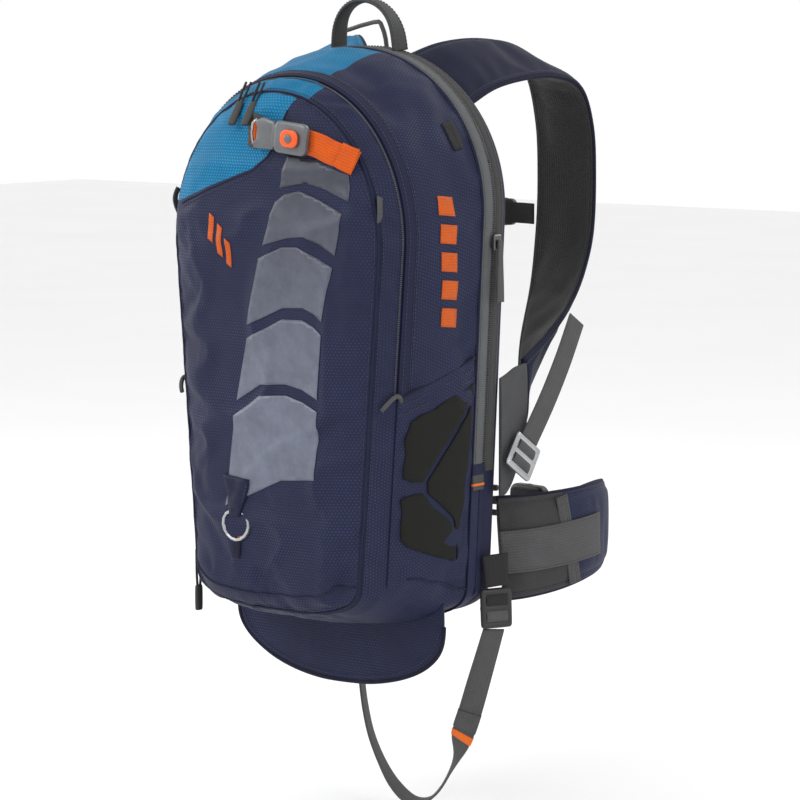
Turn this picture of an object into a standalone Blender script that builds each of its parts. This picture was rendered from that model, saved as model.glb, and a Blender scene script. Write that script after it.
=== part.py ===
"""Avalanche airbag backpack, about 20 litres: a zipped shell on a padded harness.

The pack is modelled standing on its base plane: +Z up, -Y away from the wearer, +X to the
wearer's right. Everything hangs from one empty, which puts the origin at the haul loop's hook.
"""

import math

import bmesh
import bpy
from mathutils import Matrix, Vector

# Driving dimensions, in metres.
PACK_HEIGHT = 0.525        # base to the top of the back
TOP_FALL = 0.035           # how much lower the top is at the front
FRONT_HEIGHT = PACK_HEIGHT - TOP_FALL
FRONT_BASE = 0.012         # how far the base rises at the front
PACK_DEPTH = 0.124         # front face to the zip band's front edge
BACK_HALF_LOW = 0.1326     # half widths at the zip band and at the front face,
BACK_HALF_HIGH = 0.149     # low down and below the top curve
FRONT_HALF_LOW = 0.0985
FRONT_HALF_HIGH = 0.1253
LOW_DROP = 0.040           # height of the curve at the base
HIGH_DROP = 0.145          # height of the curve at the top
ZIP_PLANE = 0.0148         # where the shell meets the harness
ZIP_BAND = 0.030           # both zip tapes together
ZIP_END = 0.142            # height where the main zip stops
SHELL_WALL = 0.003
POCKET_START = 0.092       # depth at which the front pocket begins
POCKET_SPLIT = 0.200       # height of the pocket cover's hinge
POCKET_WALL = 0.0025
FRONT_ROUND = 0.030
FRONT_CROWN = 0.004
PANEL_FLAT = 0.031         # where the back panel's edge starts to round off
PANEL_BACK = 0.042
PANEL_ROUND = 0.010
SHEET_THICKNESS = 0.0016
CAVITY_DEPTH = 0.0075
CLEAR = 0.0003             # between pieces that touch
SLIDE_CLEAR = 0.0006       # between pieces that slide or turn on each other
HAUL_HALF = 0.044
HAUL_RISE = 0.0415         # inside of the haul loop, where the pack hangs, above the back
HAUL_TOP = PACK_HEIGHT + HAUL_RISE
HAUL_DEPTH = 0.0225
WEBBING = 0.0016
STRAP_THICKNESS = 0.011
HIP_THICKNESS = 0.013
CARTRIDGE_RADIUS = 0.0175
CARTRIDGE_LENGTH = 0.170
CARTRIDGE_SPACING = 0.052
CARTRIDGE_BASE = 0.070
NECK_RADIUS = 0.007
INFLATOR_HEIGHT = 0.075
LEG_WEBBING_WIDTH = 0.022
FLAP_HALF = 0.122
FLAP_DROP = 0.0640
FLAP_PLACE = -0.022
PATCH_TILT = math.atan2(BACK_HALF_LOW - FRONT_HALF_LOW, PACK_DEPTH)

for leftover in list(bpy.data.objects):
    bpy.data.objects.remove(leftover)

pack = bpy.data.objects.new("pack", None)
bpy.context.scene.collection.objects.link(pack)
pack.location = (0, -HAUL_DEPTH, -HAUL_TOP)


def finish(name, colour, roughness, metallic=0.0):
    """A plain Principled material."""
    material = bpy.data.materials.new(name)
    material.use_nodes = True
    shader = material.node_tree.nodes["Principled BSDF"]
    shader.inputs["Base Color"].default_value = (*colour, 1)
    shader.inputs["Roughness"].default_value = roughness
    shader.inputs["Metallic"].default_value = metallic
    return material


NAVY = finish("navy_fabric", (0.022, 0.026, 0.095), 0.75)
BLUE = finish("blue_fabric", (0.0, 0.26, 0.52), 0.7)
GREY = finish("grey_webbing", (0.13, 0.13, 0.135), 0.8)
ORANGE = finish("orange_webbing", (0.85, 0.16, 0.02), 0.7)
MESH = finish("dark_mesh", (0.018, 0.018, 0.017), 0.9)
RUBBER = finish("rubber_patch", (0.02, 0.022, 0.018), 0.6)
BLACK = finish("black_plastic", (0.02, 0.02, 0.021), 0.45)
CAST = finish("grey_plastic", (0.2, 0.2, 0.21), 0.4)
METAL = finish("bright_metal", (0.62, 0.63, 0.65), 0.3, 1.0)
STEEL = finish("steel_cylinder", (0.45, 0.46, 0.48), 0.35, 1.0)
AIRBAG = finish("airbag_fabric", (0.75, 0.12, 0.02), 0.65)


def add(name, points, faces, material, parent=None, pivot=(0, 0, 0), bevel=0.0, smooth=True):
    """One closed piece, its origin at the pivot, its points given in the pack's frame."""
    mesh = bpy.data.meshes.new(name)
    mesh.from_pydata([Vector(p) - Vector(pivot) for p in points], [], faces)
    shape = bmesh.new()
    shape.from_mesh(mesh)
    bmesh.ops.recalc_face_normals(shape, faces=shape.faces)
    shape.to_mesh(mesh)
    shape.free()
    if smooth:
        mesh.shade_smooth()
        mesh.set_sharp_from_angle(angle=math.radians(35))
    mesh.materials.append(material)
    piece = bpy.data.objects.new(name, mesh)
    bpy.context.scene.collection.objects.link(piece)
    piece.parent = parent or pack
    piece.location = Vector(pivot) - (PIVOTS[parent.name] if parent else Vector())
    PIVOTS[name] = Vector(pivot)
    if bevel:
        rounding = piece.modifiers.new("edges", "BEVEL")
        rounding.width = bevel
        rounding.segments = 1
        rounding.limit_method = "ANGLE"
    return piece


PIVOTS = {}


def side_half(z, share):
    """Half width at a height, share 0 at the zip band and 1 at the front face."""
    low = BACK_HALF_LOW + (FRONT_HALF_LOW - BACK_HALF_LOW) * share
    high = BACK_HALF_HIGH + (FRONT_HALF_HIGH - BACK_HALF_HIGH) * share
    rise = (z - LOW_DROP) / (PACK_HEIGHT - HIGH_DROP - LOW_DROP)
    return low + (high - low) * min(max(rise, 0), 1)


def share_at(y):
    return min(max(-y / PACK_DEPTH, 0), 1)


def outline(y, inset=0.0, bottom=None, top=None, side_steps=5):
    """The pack's outline at one depth, from bottom centre up the right side and round.

    bottom and top, where given, cut it off flat.
    """
    share = share_at(y)
    high = PACK_HEIGHT + (FRONT_HEIGHT - PACK_HEIGHT) * share
    low_centre = LOW_DROP + FRONT_BASE * share
    high_centre = high - HIGH_DROP
    right = []
    steps = 5
    start = low_centre if bottom is None else bottom
    end = high_centre if top is None else top
    for i in range(steps):
        turn = math.pi / 2 * i / steps
        if bottom is None:
            across = (side_half(start, share) - inset) * math.sin(turn) ** (2 / 2.6)
            right.append((across, start - (LOW_DROP - inset) * math.cos(turn) ** (2 / 2.6)))
        else:
            right.append(((side_half(start, share) - inset) * i / steps, start))
    for i in range(side_steps + 1):
        z = start + (end - start) * i / side_steps
        right.append((side_half(z, share) - inset, z))
    steps = 7
    for i in range(1, steps + 1):
        turn = math.pi / 2 * i / steps
        if top is None:
            across = (side_half(end, share) - inset) * max(math.cos(turn), 0) ** (2 / 2.05)
            right.append((across, end + (HIGH_DROP - inset) * math.sin(turn) ** (2 / 2.05)))
        else:
            right.append(((side_half(end, share) - inset) * (1 - i / steps), end))
    right[0] = (0.0, right[0][1])
    right[-1] = (0.0, right[-1][1])
    return right + [(-x, z) for x, z in reversed(right[1:-1])]


def ring(y, **shape):
    return [(x, y, z) for x, z in outline(y, **shape)]


def shrunk(points, factor, y):
    """A ring drawn in towards its own middle, at another depth."""
    middle = (min(p[2] for p in points) + max(p[2] for p in points)) / 2
    return [(p[0] * factor, y, middle + (p[2] - middle) * factor) for p in points]


def loft(rings, close_first=True, close_last=True):
    """Points and faces of a skin through equal rings."""
    count = len(rings[0])
    points = [p for one in rings for p in one]
    faces = []
    for level in range(len(rings) - 1):
        for i in range(count):
            j = (i + 1) % count
            faces.append((level * count + i, level * count + j,
                          (level + 1) * count + j, (level + 1) * count + i))
    if close_first:
        faces.append(tuple(range(count)))
    if close_last:
        faces.append(tuple((len(rings) - 1) * count + i for i in range(count)))
    return points, faces


def rounded_front(start, wall, **cut):
    """Rings of a front that rounds off into a slightly crowned face."""
    rings = []
    depth = PACK_DEPTH - start - wall
    for i in range(5):
        turn = math.pi / 2 * i / 4
        y = -start - depth * math.sin(turn)
        inset = wall + FRONT_ROUND * (1 - math.cos(turn))
        one = ring(y, inset=inset, **cut)
        if wall and cut.get("bottom") is not None:
            one = [(x, y, max(z, cut["bottom"] + wall)) for x, y, z in one]
        if wall and cut.get("top") is not None:
            one = [(x, y, min(z, cut["top"] - wall)) for x, y, z in one]
        rings.append(one)
    rings.append(shrunk(rings[-1], 0.55, -PACK_DEPTH - FRONT_CROWN + wall))
    return rings


# Shell: the main compartment, open towards the harness.
outer = [ring(ZIP_PLANE), ring(0.0), ring(-0.045), ring(-POCKET_START)]
front_inside = -(POCKET_START - SHELL_WALL)
inner = [ring(front_inside, inset=SHELL_WALL), ring(-0.045, inset=SHELL_WALL),
         ring(0.0, inset=SHELL_WALL), ring(ZIP_PLANE, inset=SHELL_WALL)]
points, faces = loft(outer + inner, close_first=False, close_last=False)
count = len(outer[0])
last = (len(outer) + len(inner) - 1) * count
faces = faces[:3 * count] + faces[4 * count:]
faces += [(i, (i + 1) % count, last + (i + 1) % count, last + i) for i in range(count)]
faces.append(tuple(3 * count + i for i in range(count)))
faces.append(tuple(4 * count + i for i in range(count)))
shell = add("shell", points, faces, NAVY, pivot=(0, ZIP_PLANE, 0))


def cup(name, outside, inside, material, parent, pivot):
    """A cover with a wall, open at its first ring."""
    points, faces = loft(outside + inside[::-1], close_first=False, close_last=False)
    count = len(outside[0])
    skip = (len(outside) - 1) * count
    faces = faces[:skip] + faces[skip + count:]
    last = (len(outside) + len(inside) - 1) * count
    faces += [(i, (i + 1) % count, last + (i + 1) % count, last + i) for i in range(count)]
    faces.append(tuple(skip + i for i in range(count)))
    faces.append(tuple(skip + count + i for i in range(count)))
    return add(name, points, faces, material, parent, pivot)


pocket_cover = cup("pocket_cover",
                   rounded_front(POCKET_START + CLEAR, 0.0, bottom=POCKET_SPLIT + CLEAR / 2),
                   rounded_front(POCKET_START + CLEAR, POCKET_WALL,
                                 bottom=POCKET_SPLIT + CLEAR / 2),
                   NAVY, shell, (0, -PACK_DEPTH, POCKET_SPLIT))
points, faces = loft(rounded_front(POCKET_START + CLEAR, 0.0, top=POCKET_SPLIT - CLEAR / 2))
lower_front = add("lower_front_panel", points, faces, NAVY, shell)


def band(name, y0, y1, low, lift, thickness, material, parent=None):
    """A strip that follows the outline over the top, from one side's low end to the other's."""
    rows = []
    flat = outline(0.0, side_steps=9)
    for index, (x, z) in enumerate(flat):
        before = Vector(flat[index - 1])
        after = Vector(flat[(index + 1) % len(flat)])
        along = (after - before).normalized()
        out = Vector((along.y, -along.x))
        if z > low:
            rows.append((Vector((x, z)), out))
    for end in (0, -1):
        step = 1 if end == 0 else -2
        inward = rows[step][0] - rows[end][0]
        share = (low - rows[end][0].y) / inward.y
        rows[end] = (rows[end][0] + inward * share, rows[end][1])
    rings = []
    for place, out in rows:
        near = place + out * lift
        far = place + out * (lift + thickness)
        rings.append([(near.x, y0, near.y), (far.x, y0, far.y),
                      (far.x, y1, far.y), (near.x, y1, near.y)])
    points, faces = loft(rings)
    return add(name, points, faces, material, parent)


TAPE_LIFT = 0.0004
TAPE_THICK = 0.0012
band("shell_zip_tape", 0.0, ZIP_PLANE - CLEAR, ZIP_END, TAPE_LIFT, TAPE_THICK, GREY, shell)
band("harness_zip_tape", ZIP_PLANE + CLEAR, ZIP_BAND, ZIP_END, TAPE_LIFT, TAPE_THICK, GREY)

# Back panel: a foam-filled cover with a cavity for the frame sheet and its two stays.
cavity_inset = 0.006
panel_outside = [ring(ZIP_PLANE + CLEAR), ring(PANEL_FLAT)]
for i in range(1, 4):
    turn = math.pi / 2 * i / 3
    panel_outside.append([(x, PANEL_FLAT + (PANEL_BACK - PANEL_FLAT) * math.sin(turn), z)
                          for x, z in outline(0.0, inset=PANEL_ROUND * (1 - math.cos(turn)))])
cavity_floor = ZIP_PLANE + CAVITY_DEPTH
panel_inside = [[(x, y, z) for x, z in outline(0.0, inset=cavity_inset)]
                for y in (ZIP_PLANE + CLEAR, cavity_floor)]
back_panel = cup("back_panel", panel_outside, panel_inside, MESH, None, (0, 0, 0))
sheet_front = ZIP_PLANE + 0.0008
points, faces = loft([[(x, y, z) for x, z in outline(0.0, inset=cavity_inset + 0.001)]
                      for y in (sheet_front, sheet_front + SHEET_THICKNESS)])
frame_sheet = add("frame_sheet", points, faces, BLACK)


def block(name, centre, size, material, parent=None, pivot=None, bevel=0.0, turn=None):
    """A box with bevelled edges, turned about its centre."""
    half = Vector(size) / 2
    corners = [Vector((sx * half.x, sy * half.y, sz * half.z))
               for sz in (-1, 1) for sy in (-1, 1) for sx in (-1, 1)]
    if turn:
        corners = [turn @ c for c in corners]
    points = [Vector(centre) + c for c in corners]
    faces = [(0, 1, 3, 2), (4, 6, 7, 5), (0, 4, 5, 1), (2, 3, 7, 6), (0, 2, 6, 4), (1, 5, 7, 3)]
    return add(name, points, faces, material, parent, pivot or centre, bevel)


stay_front = sheet_front + SHEET_THICKNESS + CLEAR
stay_thickness = 0.0025
pad_front = PANEL_BACK + CLEAR
pad_thickness = 0.012
for side, label in ((1, "right"), (-1, "left")):
    block(f"stay_{label}", (side * 0.045, stay_front + stay_thickness / 2, 0.26),
          (0.014, stay_thickness, 0.42), METAL)
    block(f"back_pad_{label}", (side * 0.058, pad_front + pad_thickness / 2, 0.295),
          (0.062, pad_thickness, 0.25), MESH, bevel=0.005)
block("lumbar_pad", (0, pad_front + 0.009, 0.078), (0.16, 0.018, 0.115), MESH, bevel=0.007)


def smooth_rows(rows, per_step):
    """Rows of numbers on a smooth curve through the given rows."""
    found = []
    for i in range(len(rows) - 1):
        before = rows[max(i - 1, 0)]
        after = rows[min(i + 2, len(rows) - 1)]
        for k in range(per_step):
            t = k / per_step
            found.append([0.5 * (2 * b + (c - a) * t + (2 * a - 5 * b + 4 * c - d) * t * t
                                 + (3 * b - a - 3 * c + d) * t ** 3)
                          for a, b, c, d in zip(before, rows[i], rows[i + 1], after)])
    found.append(list(rows[-1]))
    return found


def ribbon(name, rows, thickness, material, parent=None, pivot=(0, 0, 0), per_step=3, soft=False,
           square=True):
    """A flat strip; each row is a place, the direction across the strip, and its width."""
    rows = smooth_rows(rows, per_step)
    rings = []
    for i, row in enumerate(rows):
        place = Vector(row[:3])
        along = Vector(rows[min(i + 1, len(rows) - 1)][:3]) - Vector(rows[max(i - 1, 0)][:3])
        across = Vector(row[3:6])
        if square:
            across -= along.normalized() * across.dot(along.normalized())
        across.normalize()
        up = across.cross(along).normalized()
        half = row[6] / 2
        if soft:
            edge = [(-1, -0.3), (-0.86, -0.5), (0.86, -0.5), (1, -0.3),
                    (1, 0.3), (0.86, 0.5), (-0.86, 0.5), (-1, 0.3)]
        else:
            edge = [(-1, -0.5), (1, -0.5), (1, 0.5), (-1, 0.5)]
        rings.append([place + across * (half * a) + up * (thickness * b) for a, b in edge])
    points, faces = loft(rings)
    return add(name, points, faces, material, parent, pivot)


# Shoulder straps: from the top of the back panel, over the shoulder, and back to the side.
RIGHT_STRAP = [
    (0.058, 0.0490, 0.494, 0.88, 0.0, -0.47, 0.088),
    (0.066, 0.085, 0.508, 0.86, 0.0, -0.50, 0.078),
    (0.074, 0.130, 0.514, 0.86, 0.0, -0.50, 0.070),
    (0.080, 0.170, 0.511, 0.91, 0.0, -0.42, 0.066),
    (0.083, 0.202, 0.492, 0.98, 0.0, -0.20, 0.065),
    (0.083, 0.220, 0.450, 1.00, 0.0, -0.05, 0.065),
    (0.083, 0.224, 0.400, 1.00, 0.0, 0.0, 0.065),
    (0.084, 0.220, 0.350, 1.00, 0.0, 0.05, 0.065),
    (0.087, 0.205, 0.305, 0.95, 0.0, 0.30, 0.065),
    (0.098, 0.170, 0.264, 0.80, 0.1, 0.60, 0.066),
    (0.118, 0.122, 0.228, 0.40, 0.1, 0.90, 0.066),
    (0.1345, 0.0815, 0.205, 0.0, 0.0, 1.00, 0.066),
]
LEFT_STRAP = [
    (-0.060, 0.0520, 0.494, 0.88, 0.0, 0.47, 0.088),
    (-0.090, 0.078, 0.511, 0.86, 0.15, 0.48, 0.080),
    (-0.123, 0.112, 0.518, 0.84, 0.30, 0.42, 0.072),
    (-0.145, 0.148, 0.508, 0.88, 0.32, 0.28, 0.067),
    (-0.151, 0.180, 0.480, 0.92, 0.28, 0.05, 0.065),
    (-0.147, 0.200, 0.440, 0.95, 0.20, 0.0, 0.065),
    (-0.138, 0.208, 0.400, 0.97, 0.12, 0.0, 0.065),
    (-0.127, 0.208, 0.350, 1.00, 0.0, -0.05, 0.065),
    (-0.116, 0.197, 0.305, 0.95, 0.0, -0.30, 0.065),
    (-0.112, 0.167, 0.264, 0.80, -0.1, -0.60, 0.066),
    (-0.121, 0.122, 0.228, 0.40, -0.1, -0.90, 0.066),
    (-0.1365, 0.0815, 0.205, 0.0, 0.0, -1.00, 0.066),
]
ribbon("shoulder_strap_right", RIGHT_STRAP, STRAP_THICKNESS, NAVY, soft=True, square=False)
ribbon("shoulder_strap_left", LEFT_STRAP, STRAP_THICKNESS, BLUE, soft=True, square=False)

# Stabiliser wings: grey fabric from the panel's edge to the strap's lower end.
LOCK_PLACE = Vector((0.1550, 0.054, 0.153))
KEEPER_PLACE = {"right": Vector((0.1390, 0.162, 0.270)), "left": Vector((-0.1520, 0.160, 0.270))}
wing_clear = 0.0050
for side, label in ((1, "right"), (-1, "left")):
    rows = []
    for y, low, high in ((0.0335, 0.118, 0.226), (0.045, 0.119, 0.229), (0.060, 0.135, 0.234),
                         (0.0775, 0.174, 0.236)):
        middle = (low + high) / 2
        x = side_half(middle, 0.0) + wing_clear - 0.10 * (y - 0.0335)
        rows.append((side * x, y, middle, 0, 0, 1, high - low))
    ribbon(f"stabiliser_wing_{label}", rows, 0.003, GREY, square=False)


def ladder_lock(name, place, across, along, width, length, thickness, material, parent=None):
    """A three-bar slide: a frame with two slots."""
    rim = 0.0035
    bar = 0.006
    slot = (length - 2 * rim - bar) / 2
    columns = [-width / 2, -width / 2 + rim, width / 2 - rim, width / 2]
    lines = [-length / 2, -length / 2 + rim, -length / 2 + rim + slot,
             length / 2 - rim - slot, length / 2 - rim, length / 2]
    holes = {(1, 1), (1, 3)}
    across = Vector(across).normalized()
    along = (Vector(along) - across * Vector(along).dot(across)).normalized()
    up = across.cross(along)
    points = []
    for level in (-0.5, 0.5):
        for v in lines:
            for u in columns:
                points.append(Vector(place) + across * u + along * v + up * (level * thickness))
    plane = len(columns) * len(lines)

    def at(column, line, level):
        return level * plane + line * len(columns) + column

    faces = []
    solid = {(c, l) for c in range(3) for l in range(5)} - holes
    for c, l in sorted(solid):
        for level in (0, 1):
            faces.append((at(c, l, level), at(c + 1, l, level),
                          at(c + 1, l + 1, level), at(c, l + 1, level)))
        for dc, dl, a, b in ((-1, 0, (c, l), (c, l + 1)), (1, 0, (c + 1, l), (c + 1, l + 1)),
                             (0, -1, (c, l), (c + 1, l)), (0, 1, (c, l + 1), (c + 1, l + 1))):
            if (c + dc, l + dl) not in solid:
                faces.append((at(*a, 0), at(*b, 0), at(*b, 1), at(*a, 1)))
    return add(name, points, faces, material, parent, place)


LOCK_SIZE = (0.032, 0.034, 0.004)
for side, label in ((1, "right"), (-1, "left")):
    lock = Vector((side * LOCK_PLACE.x, LOCK_PLACE.y, LOCK_PLACE.z))
    keeper = KEEPER_PLACE[label]
    along = (keeper - lock).normalized()
    across = along.cross(Vector((side, -0.35, 0))).normalized()
    ladder_lock(f"ladder_lock_{label}", lock, across, along, *LOCK_SIZE, METAL)
    start = lock + along * (LOCK_SIZE[1] / 2 + 0.001)
    rows = [(*(start + (keeper - start) * t + Vector((side * 0.003 * math.sin(math.pi * t), 0, 0))),
             *across, 0.020) for t in (0, 0.33, 0.66, 1)]
    ribbon(f"adjuster_webbing_{label}", rows, WEBBING, GREY, per_step=2)

# Haul loop: a flat arch of rubberised webbing on the top edge of the back panel.
rows = []
for i in range(13):
    turn = math.pi * i / 12
    reach = HAUL_HALF * (1 if 0 < i < 12 else 1.02)
    rise = 0.0465 * math.sin(turn) ** 0.75 if 0 < i < 12 else 0.0
    lean = -0.006 * math.sin(turn)
    rows.append((reach * math.cos(turn), HAUL_DEPTH + 0.001 + lean, HAUL_TOP - 0.0445 + rise,
                 0, 1, 0, 0.017))
ribbon("haul_loop", rows, 0.004, RUBBER, per_step=2)

# Sternum strap between the two straps' inner edges, with its buckle in the middle.
STERNUM_Z = 0.363
STERNUM_Y = 0.2215
sternum_right = 0.0475
sternum_left = -0.0930
rows = [(sternum_right, STERNUM_Y - 0.002, STERNUM_Z, 0, 0, 1, 0.020),
        (0.022, STERNUM_Y + 0.004, STERNUM_Z, 0, 0, 1, 0.020),
        (-0.035, STERNUM_Y + 0.003, STERNUM_Z, 0, 0, 1, 0.020),
        (sternum_left, STERNUM_Y - 0.008, STERNUM_Z, 0, 0, 1, 0.020)]
sternum = ribbon("sternum_strap", rows, WEBBING, BLACK, pivot=(0, STERNUM_Y, STERNUM_Z))
block("sternum_buckle", (-0.006, STERNUM_Y + 0.0105, STERNUM_Z), (0.046, 0.009, 0.026), BLACK,
      sternum, bevel=0.003)

# Hip belt: two padded wings, their webbing and the two halves of the buckle, undone.
HIP_HINGE = Vector((0.1235, 0.049, 0.065))
HIP_ROWS = [
    (0.1270, 0.0560, 0.064, 0.097),
    (0.1450, 0.0760, 0.066, 0.095),
    (0.1585, 0.1040, 0.069, 0.092),
    (0.1635, 0.1360, 0.072, 0.088),
    (0.1580, 0.1700, 0.074, 0.084),
    (0.1430, 0.1990, 0.074, 0.078),
    (0.1190, 0.2210, 0.073, 0.066),
    (0.0890, 0.2350, 0.072, 0.046),
]
hip = {}
for side, label in ((1, "right"), (-1, "left")):
    hinge = (side * HIP_HINGE.x, HIP_HINGE.y, HIP_HINGE.z)
    rows = [(side * x, y, z, 0, 0, 1, height) for x, y, z, height in HIP_ROWS]
    hip[label] = ribbon(f"hip_wing_{label}", rows, HIP_THICKNESS, NAVY, pivot=hinge, soft=True)
    rows = [(side * 0.0870, 0.2360, 0.072, 0, 0, 1, 0.025),
            (side * 0.0670, 0.2420, 0.072, 0, 0, 1, 0.025),
            (side * 0.0490, 0.2455, 0.072, 0, 0, 1, 0.025)]
    ribbon(f"hip_webbing_{label}", rows, WEBBING, GREY, hip[label], hinge, per_step=2)
buckle_place = Vector((0.0230, 0.2490, 0.072))
block("hip_buckle_socket", buckle_place, (0.048, 0.012, 0.040), BLACK, hip["right"], bevel=0.003,
      turn=Matrix.Rotation(math.radians(-8), 3, "Z"))
block("hip_buckle_plug", (-0.031, buckle_place.y - 0.001, buckle_place.z), (0.030, 0.009, 0.032),
      BLACK, hip["left"], bevel=0.003, turn=Matrix.Rotation(math.radians(10), 3, "Z"))


def turned(name, profile, centre, material, parent=None, segments=20):
    """A piece turned about a vertical axis; the profile runs from bottom to top."""
    rings = []
    for radius, z in profile:
        rings.append([(centre[0] + radius * math.cos(2 * math.pi * k / segments),
                       centre[1] + radius * math.sin(2 * math.pi * k / segments), z)
                      for k in range(segments)])
    points, faces = loft(rings)
    return add(name, points, faces, material, parent, (centre[0], centre[1], profile[0][1]))


def drill(piece, centre, radius, length, axis="Z"):
    """Cuts a round hole right through, or to the depth that the cutter reaches."""
    cutter_mesh = bpy.data.meshes.new("cutter")
    shape = bmesh.new()
    bmesh.ops.create_cone(shape, cap_ends=True, segments=20, radius1=radius, radius2=radius,
                          depth=length)
    shape.to_mesh(cutter_mesh)
    shape.free()
    cutter = bpy.data.objects.new(f"{piece.name}_cutter", cutter_mesh)
    bpy.context.scene.collection.objects.link(cutter)
    cutter.parent = pack
    cutter.location = centre
    if axis == "Y":
        cutter.rotation_euler = (math.pi / 2, 0, 0)
    cutter.hide_render = True
    cutter.display_type = "WIRE"
    cut = piece.modifiers.new("hole", "BOOLEAN")
    cut.object = cutter
    cut.operation = "DIFFERENCE"


# Inflation system: two gas cartridges screwed up into a valve block under the folded airbag.
CARTRIDGE_Y = sheet_front - CLEAR - CARTRIDGE_RADIUS - 0.004
NECK_TOP = CARTRIDGE_BASE + CARTRIDGE_LENGTH + 0.014
BLOCK_BASE = CARTRIDGE_BASE + CARTRIDGE_LENGTH + 0.001
inflator = block("inflator_body", (0, CARTRIDGE_Y, BLOCK_BASE + INFLATOR_HEIGHT / 2),
                 (0.092, 0.034, INFLATOR_HEIGHT), CAST, bevel=0.004)
for side, label in ((1, "right"), (-1, "left")):
    place = (side * CARTRIDGE_SPACING / 2, CARTRIDGE_Y)
    shoulder = CARTRIDGE_BASE + CARTRIDGE_LENGTH
    turned(f"cartridge_{label}",
           [(0.010, CARTRIDGE_BASE), (CARTRIDGE_RADIUS - 0.003, CARTRIDGE_BASE + 0.002),
            (CARTRIDGE_RADIUS, CARTRIDGE_BASE + 0.010), (CARTRIDGE_RADIUS, shoulder - 0.022),
            (CARTRIDGE_RADIUS * 0.8, shoulder - 0.009), (NECK_RADIUS, shoulder - 0.002),
            (NECK_RADIUS, NECK_TOP)], place, STEEL)
    drill(inflator, (*place, NECK_TOP - 0.004), NECK_RADIUS + SLIDE_CLEAR, 0.020)
LEVER_PIVOT = Vector((-0.0515, CARTRIDGE_Y, BLOCK_BASE + 0.038))
block("inflator_lever", LEVER_PIVOT + Vector((-0.002, 0, 0.010)), (0.006, 0.014, 0.036),
      ORANGE, pivot=LEVER_PIVOT, bevel=0.0015)
airbag_low = BLOCK_BASE + INFLATOR_HEIGHT + 0.004
airbag_top = PACK_HEIGHT - 0.052
block("folded_airbag", (0, -0.040, (airbag_low + airbag_top) / 2),
      (0.160, 0.075, airbag_top - airbag_low), AIRBAG, bevel=0.014)


def tube(name, route, radius, material, parent=None, per_step=4, closed=False, pivot=(0, 0, 0)):
    """A round cord or wire through the points of its route."""
    curve = bpy.data.curves.new(name, "CURVE")
    curve.dimensions = "3D"
    curve.bevel_depth = radius
    curve.bevel_resolution = 2
    curve.use_fill_caps = not closed
    places = smooth_rows(route, per_step) if not closed else route
    spline = curve.splines.new("POLY")
    spline.points.add(len(places) - 1)
    for point, place in zip(spline.points, places):
        point.co = (*(Vector(place) - Vector(pivot)), 1)
    spline.use_cyclic_u = closed
    curve.materials.append(material)
    piece = bpy.data.objects.new(name, curve)
    bpy.context.scene.collection.objects.link(piece)
    piece.parent = parent or pack
    piece.location = Vector(pivot) - (PIVOTS[parent.name] if parent else Vector())
    PIVOTS[name] = Vector(pivot)
    return piece


# Trigger: a handle on the left strap, whose cable runs up the strap and in to the valve lever.
HANDLE_TOP = Vector((-0.1130, 0.2255, 0.340))
HANDLE_LENGTH = 0.088
block("trigger_handle", HANDLE_TOP - Vector((0, 0, HANDLE_LENGTH / 2)), (0.014, 0.014, HANDLE_LENGTH),
      ORANGE, bevel=0.004)
CABLE_RADIUS = 0.0022
CABLE_HOLE = Vector((-0.010, 0.0, 0.462))
cable_lift = STRAP_THICKNESS / 2 + CABLE_RADIUS + 0.0035
cable_route = [HANDLE_TOP + Vector((0, 0, 0.0005)), HANDLE_TOP + Vector((0, -0.0015, 0.014))]
for i in range(6, 1, -1):
    place = Vector(LEFT_STRAP[i][:3])
    along = Vector(LEFT_STRAP[i + 1][:3]) - Vector(LEFT_STRAP[i - 1][:3])
    across = Vector(LEFT_STRAP[i][3:6]).normalized()
    up = across.cross(along).normalized()
    cable_route.append(place + across * (0.20 * LEFT_STRAP[i][6]) + up * cable_lift)
cable_route += [
    Vector((-0.0400, 0.0800, 0.5480)),
    Vector((-0.0250, 0.0740, 0.5440)),
    Vector((-0.0130, 0.0660, 0.5250)),
    Vector((-0.0070, 0.0580, 0.4980)),
    Vector((-0.0080, 0.0520, 0.4700)),
    CABLE_HOLE + Vector((0, 0.0400, 0)),
    CABLE_HOLE + Vector((0, 0.0180, 0)),
    CABLE_HOLE + Vector((-0.0030, 0.0090, -0.008)),
    Vector((-0.0300, 0.0060, 0.4200)),
    Vector((-0.0550, 0.0060, 0.3800)),
    Vector((-0.0640, 0.0055, 0.3450)),
    Vector((-0.0620, 0.0040, 0.3240)),
    Vector((-0.0575, -0.0035, 0.3135)),
    LEVER_PIVOT + Vector((-0.0020, 0, 0.0298)),
]
tube("trigger_cable", cable_route, CABLE_RADIUS, BLACK, per_step=3)
drill(back_panel, CABLE_HOLE + Vector((0, 0.035, 0)), CABLE_RADIUS + 0.002, 0.060, "Y")
drill(frame_sheet, CABLE_HOLE + Vector((0, 0.015, 0)), CABLE_RADIUS + 0.002, 0.030, "Y")

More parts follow.
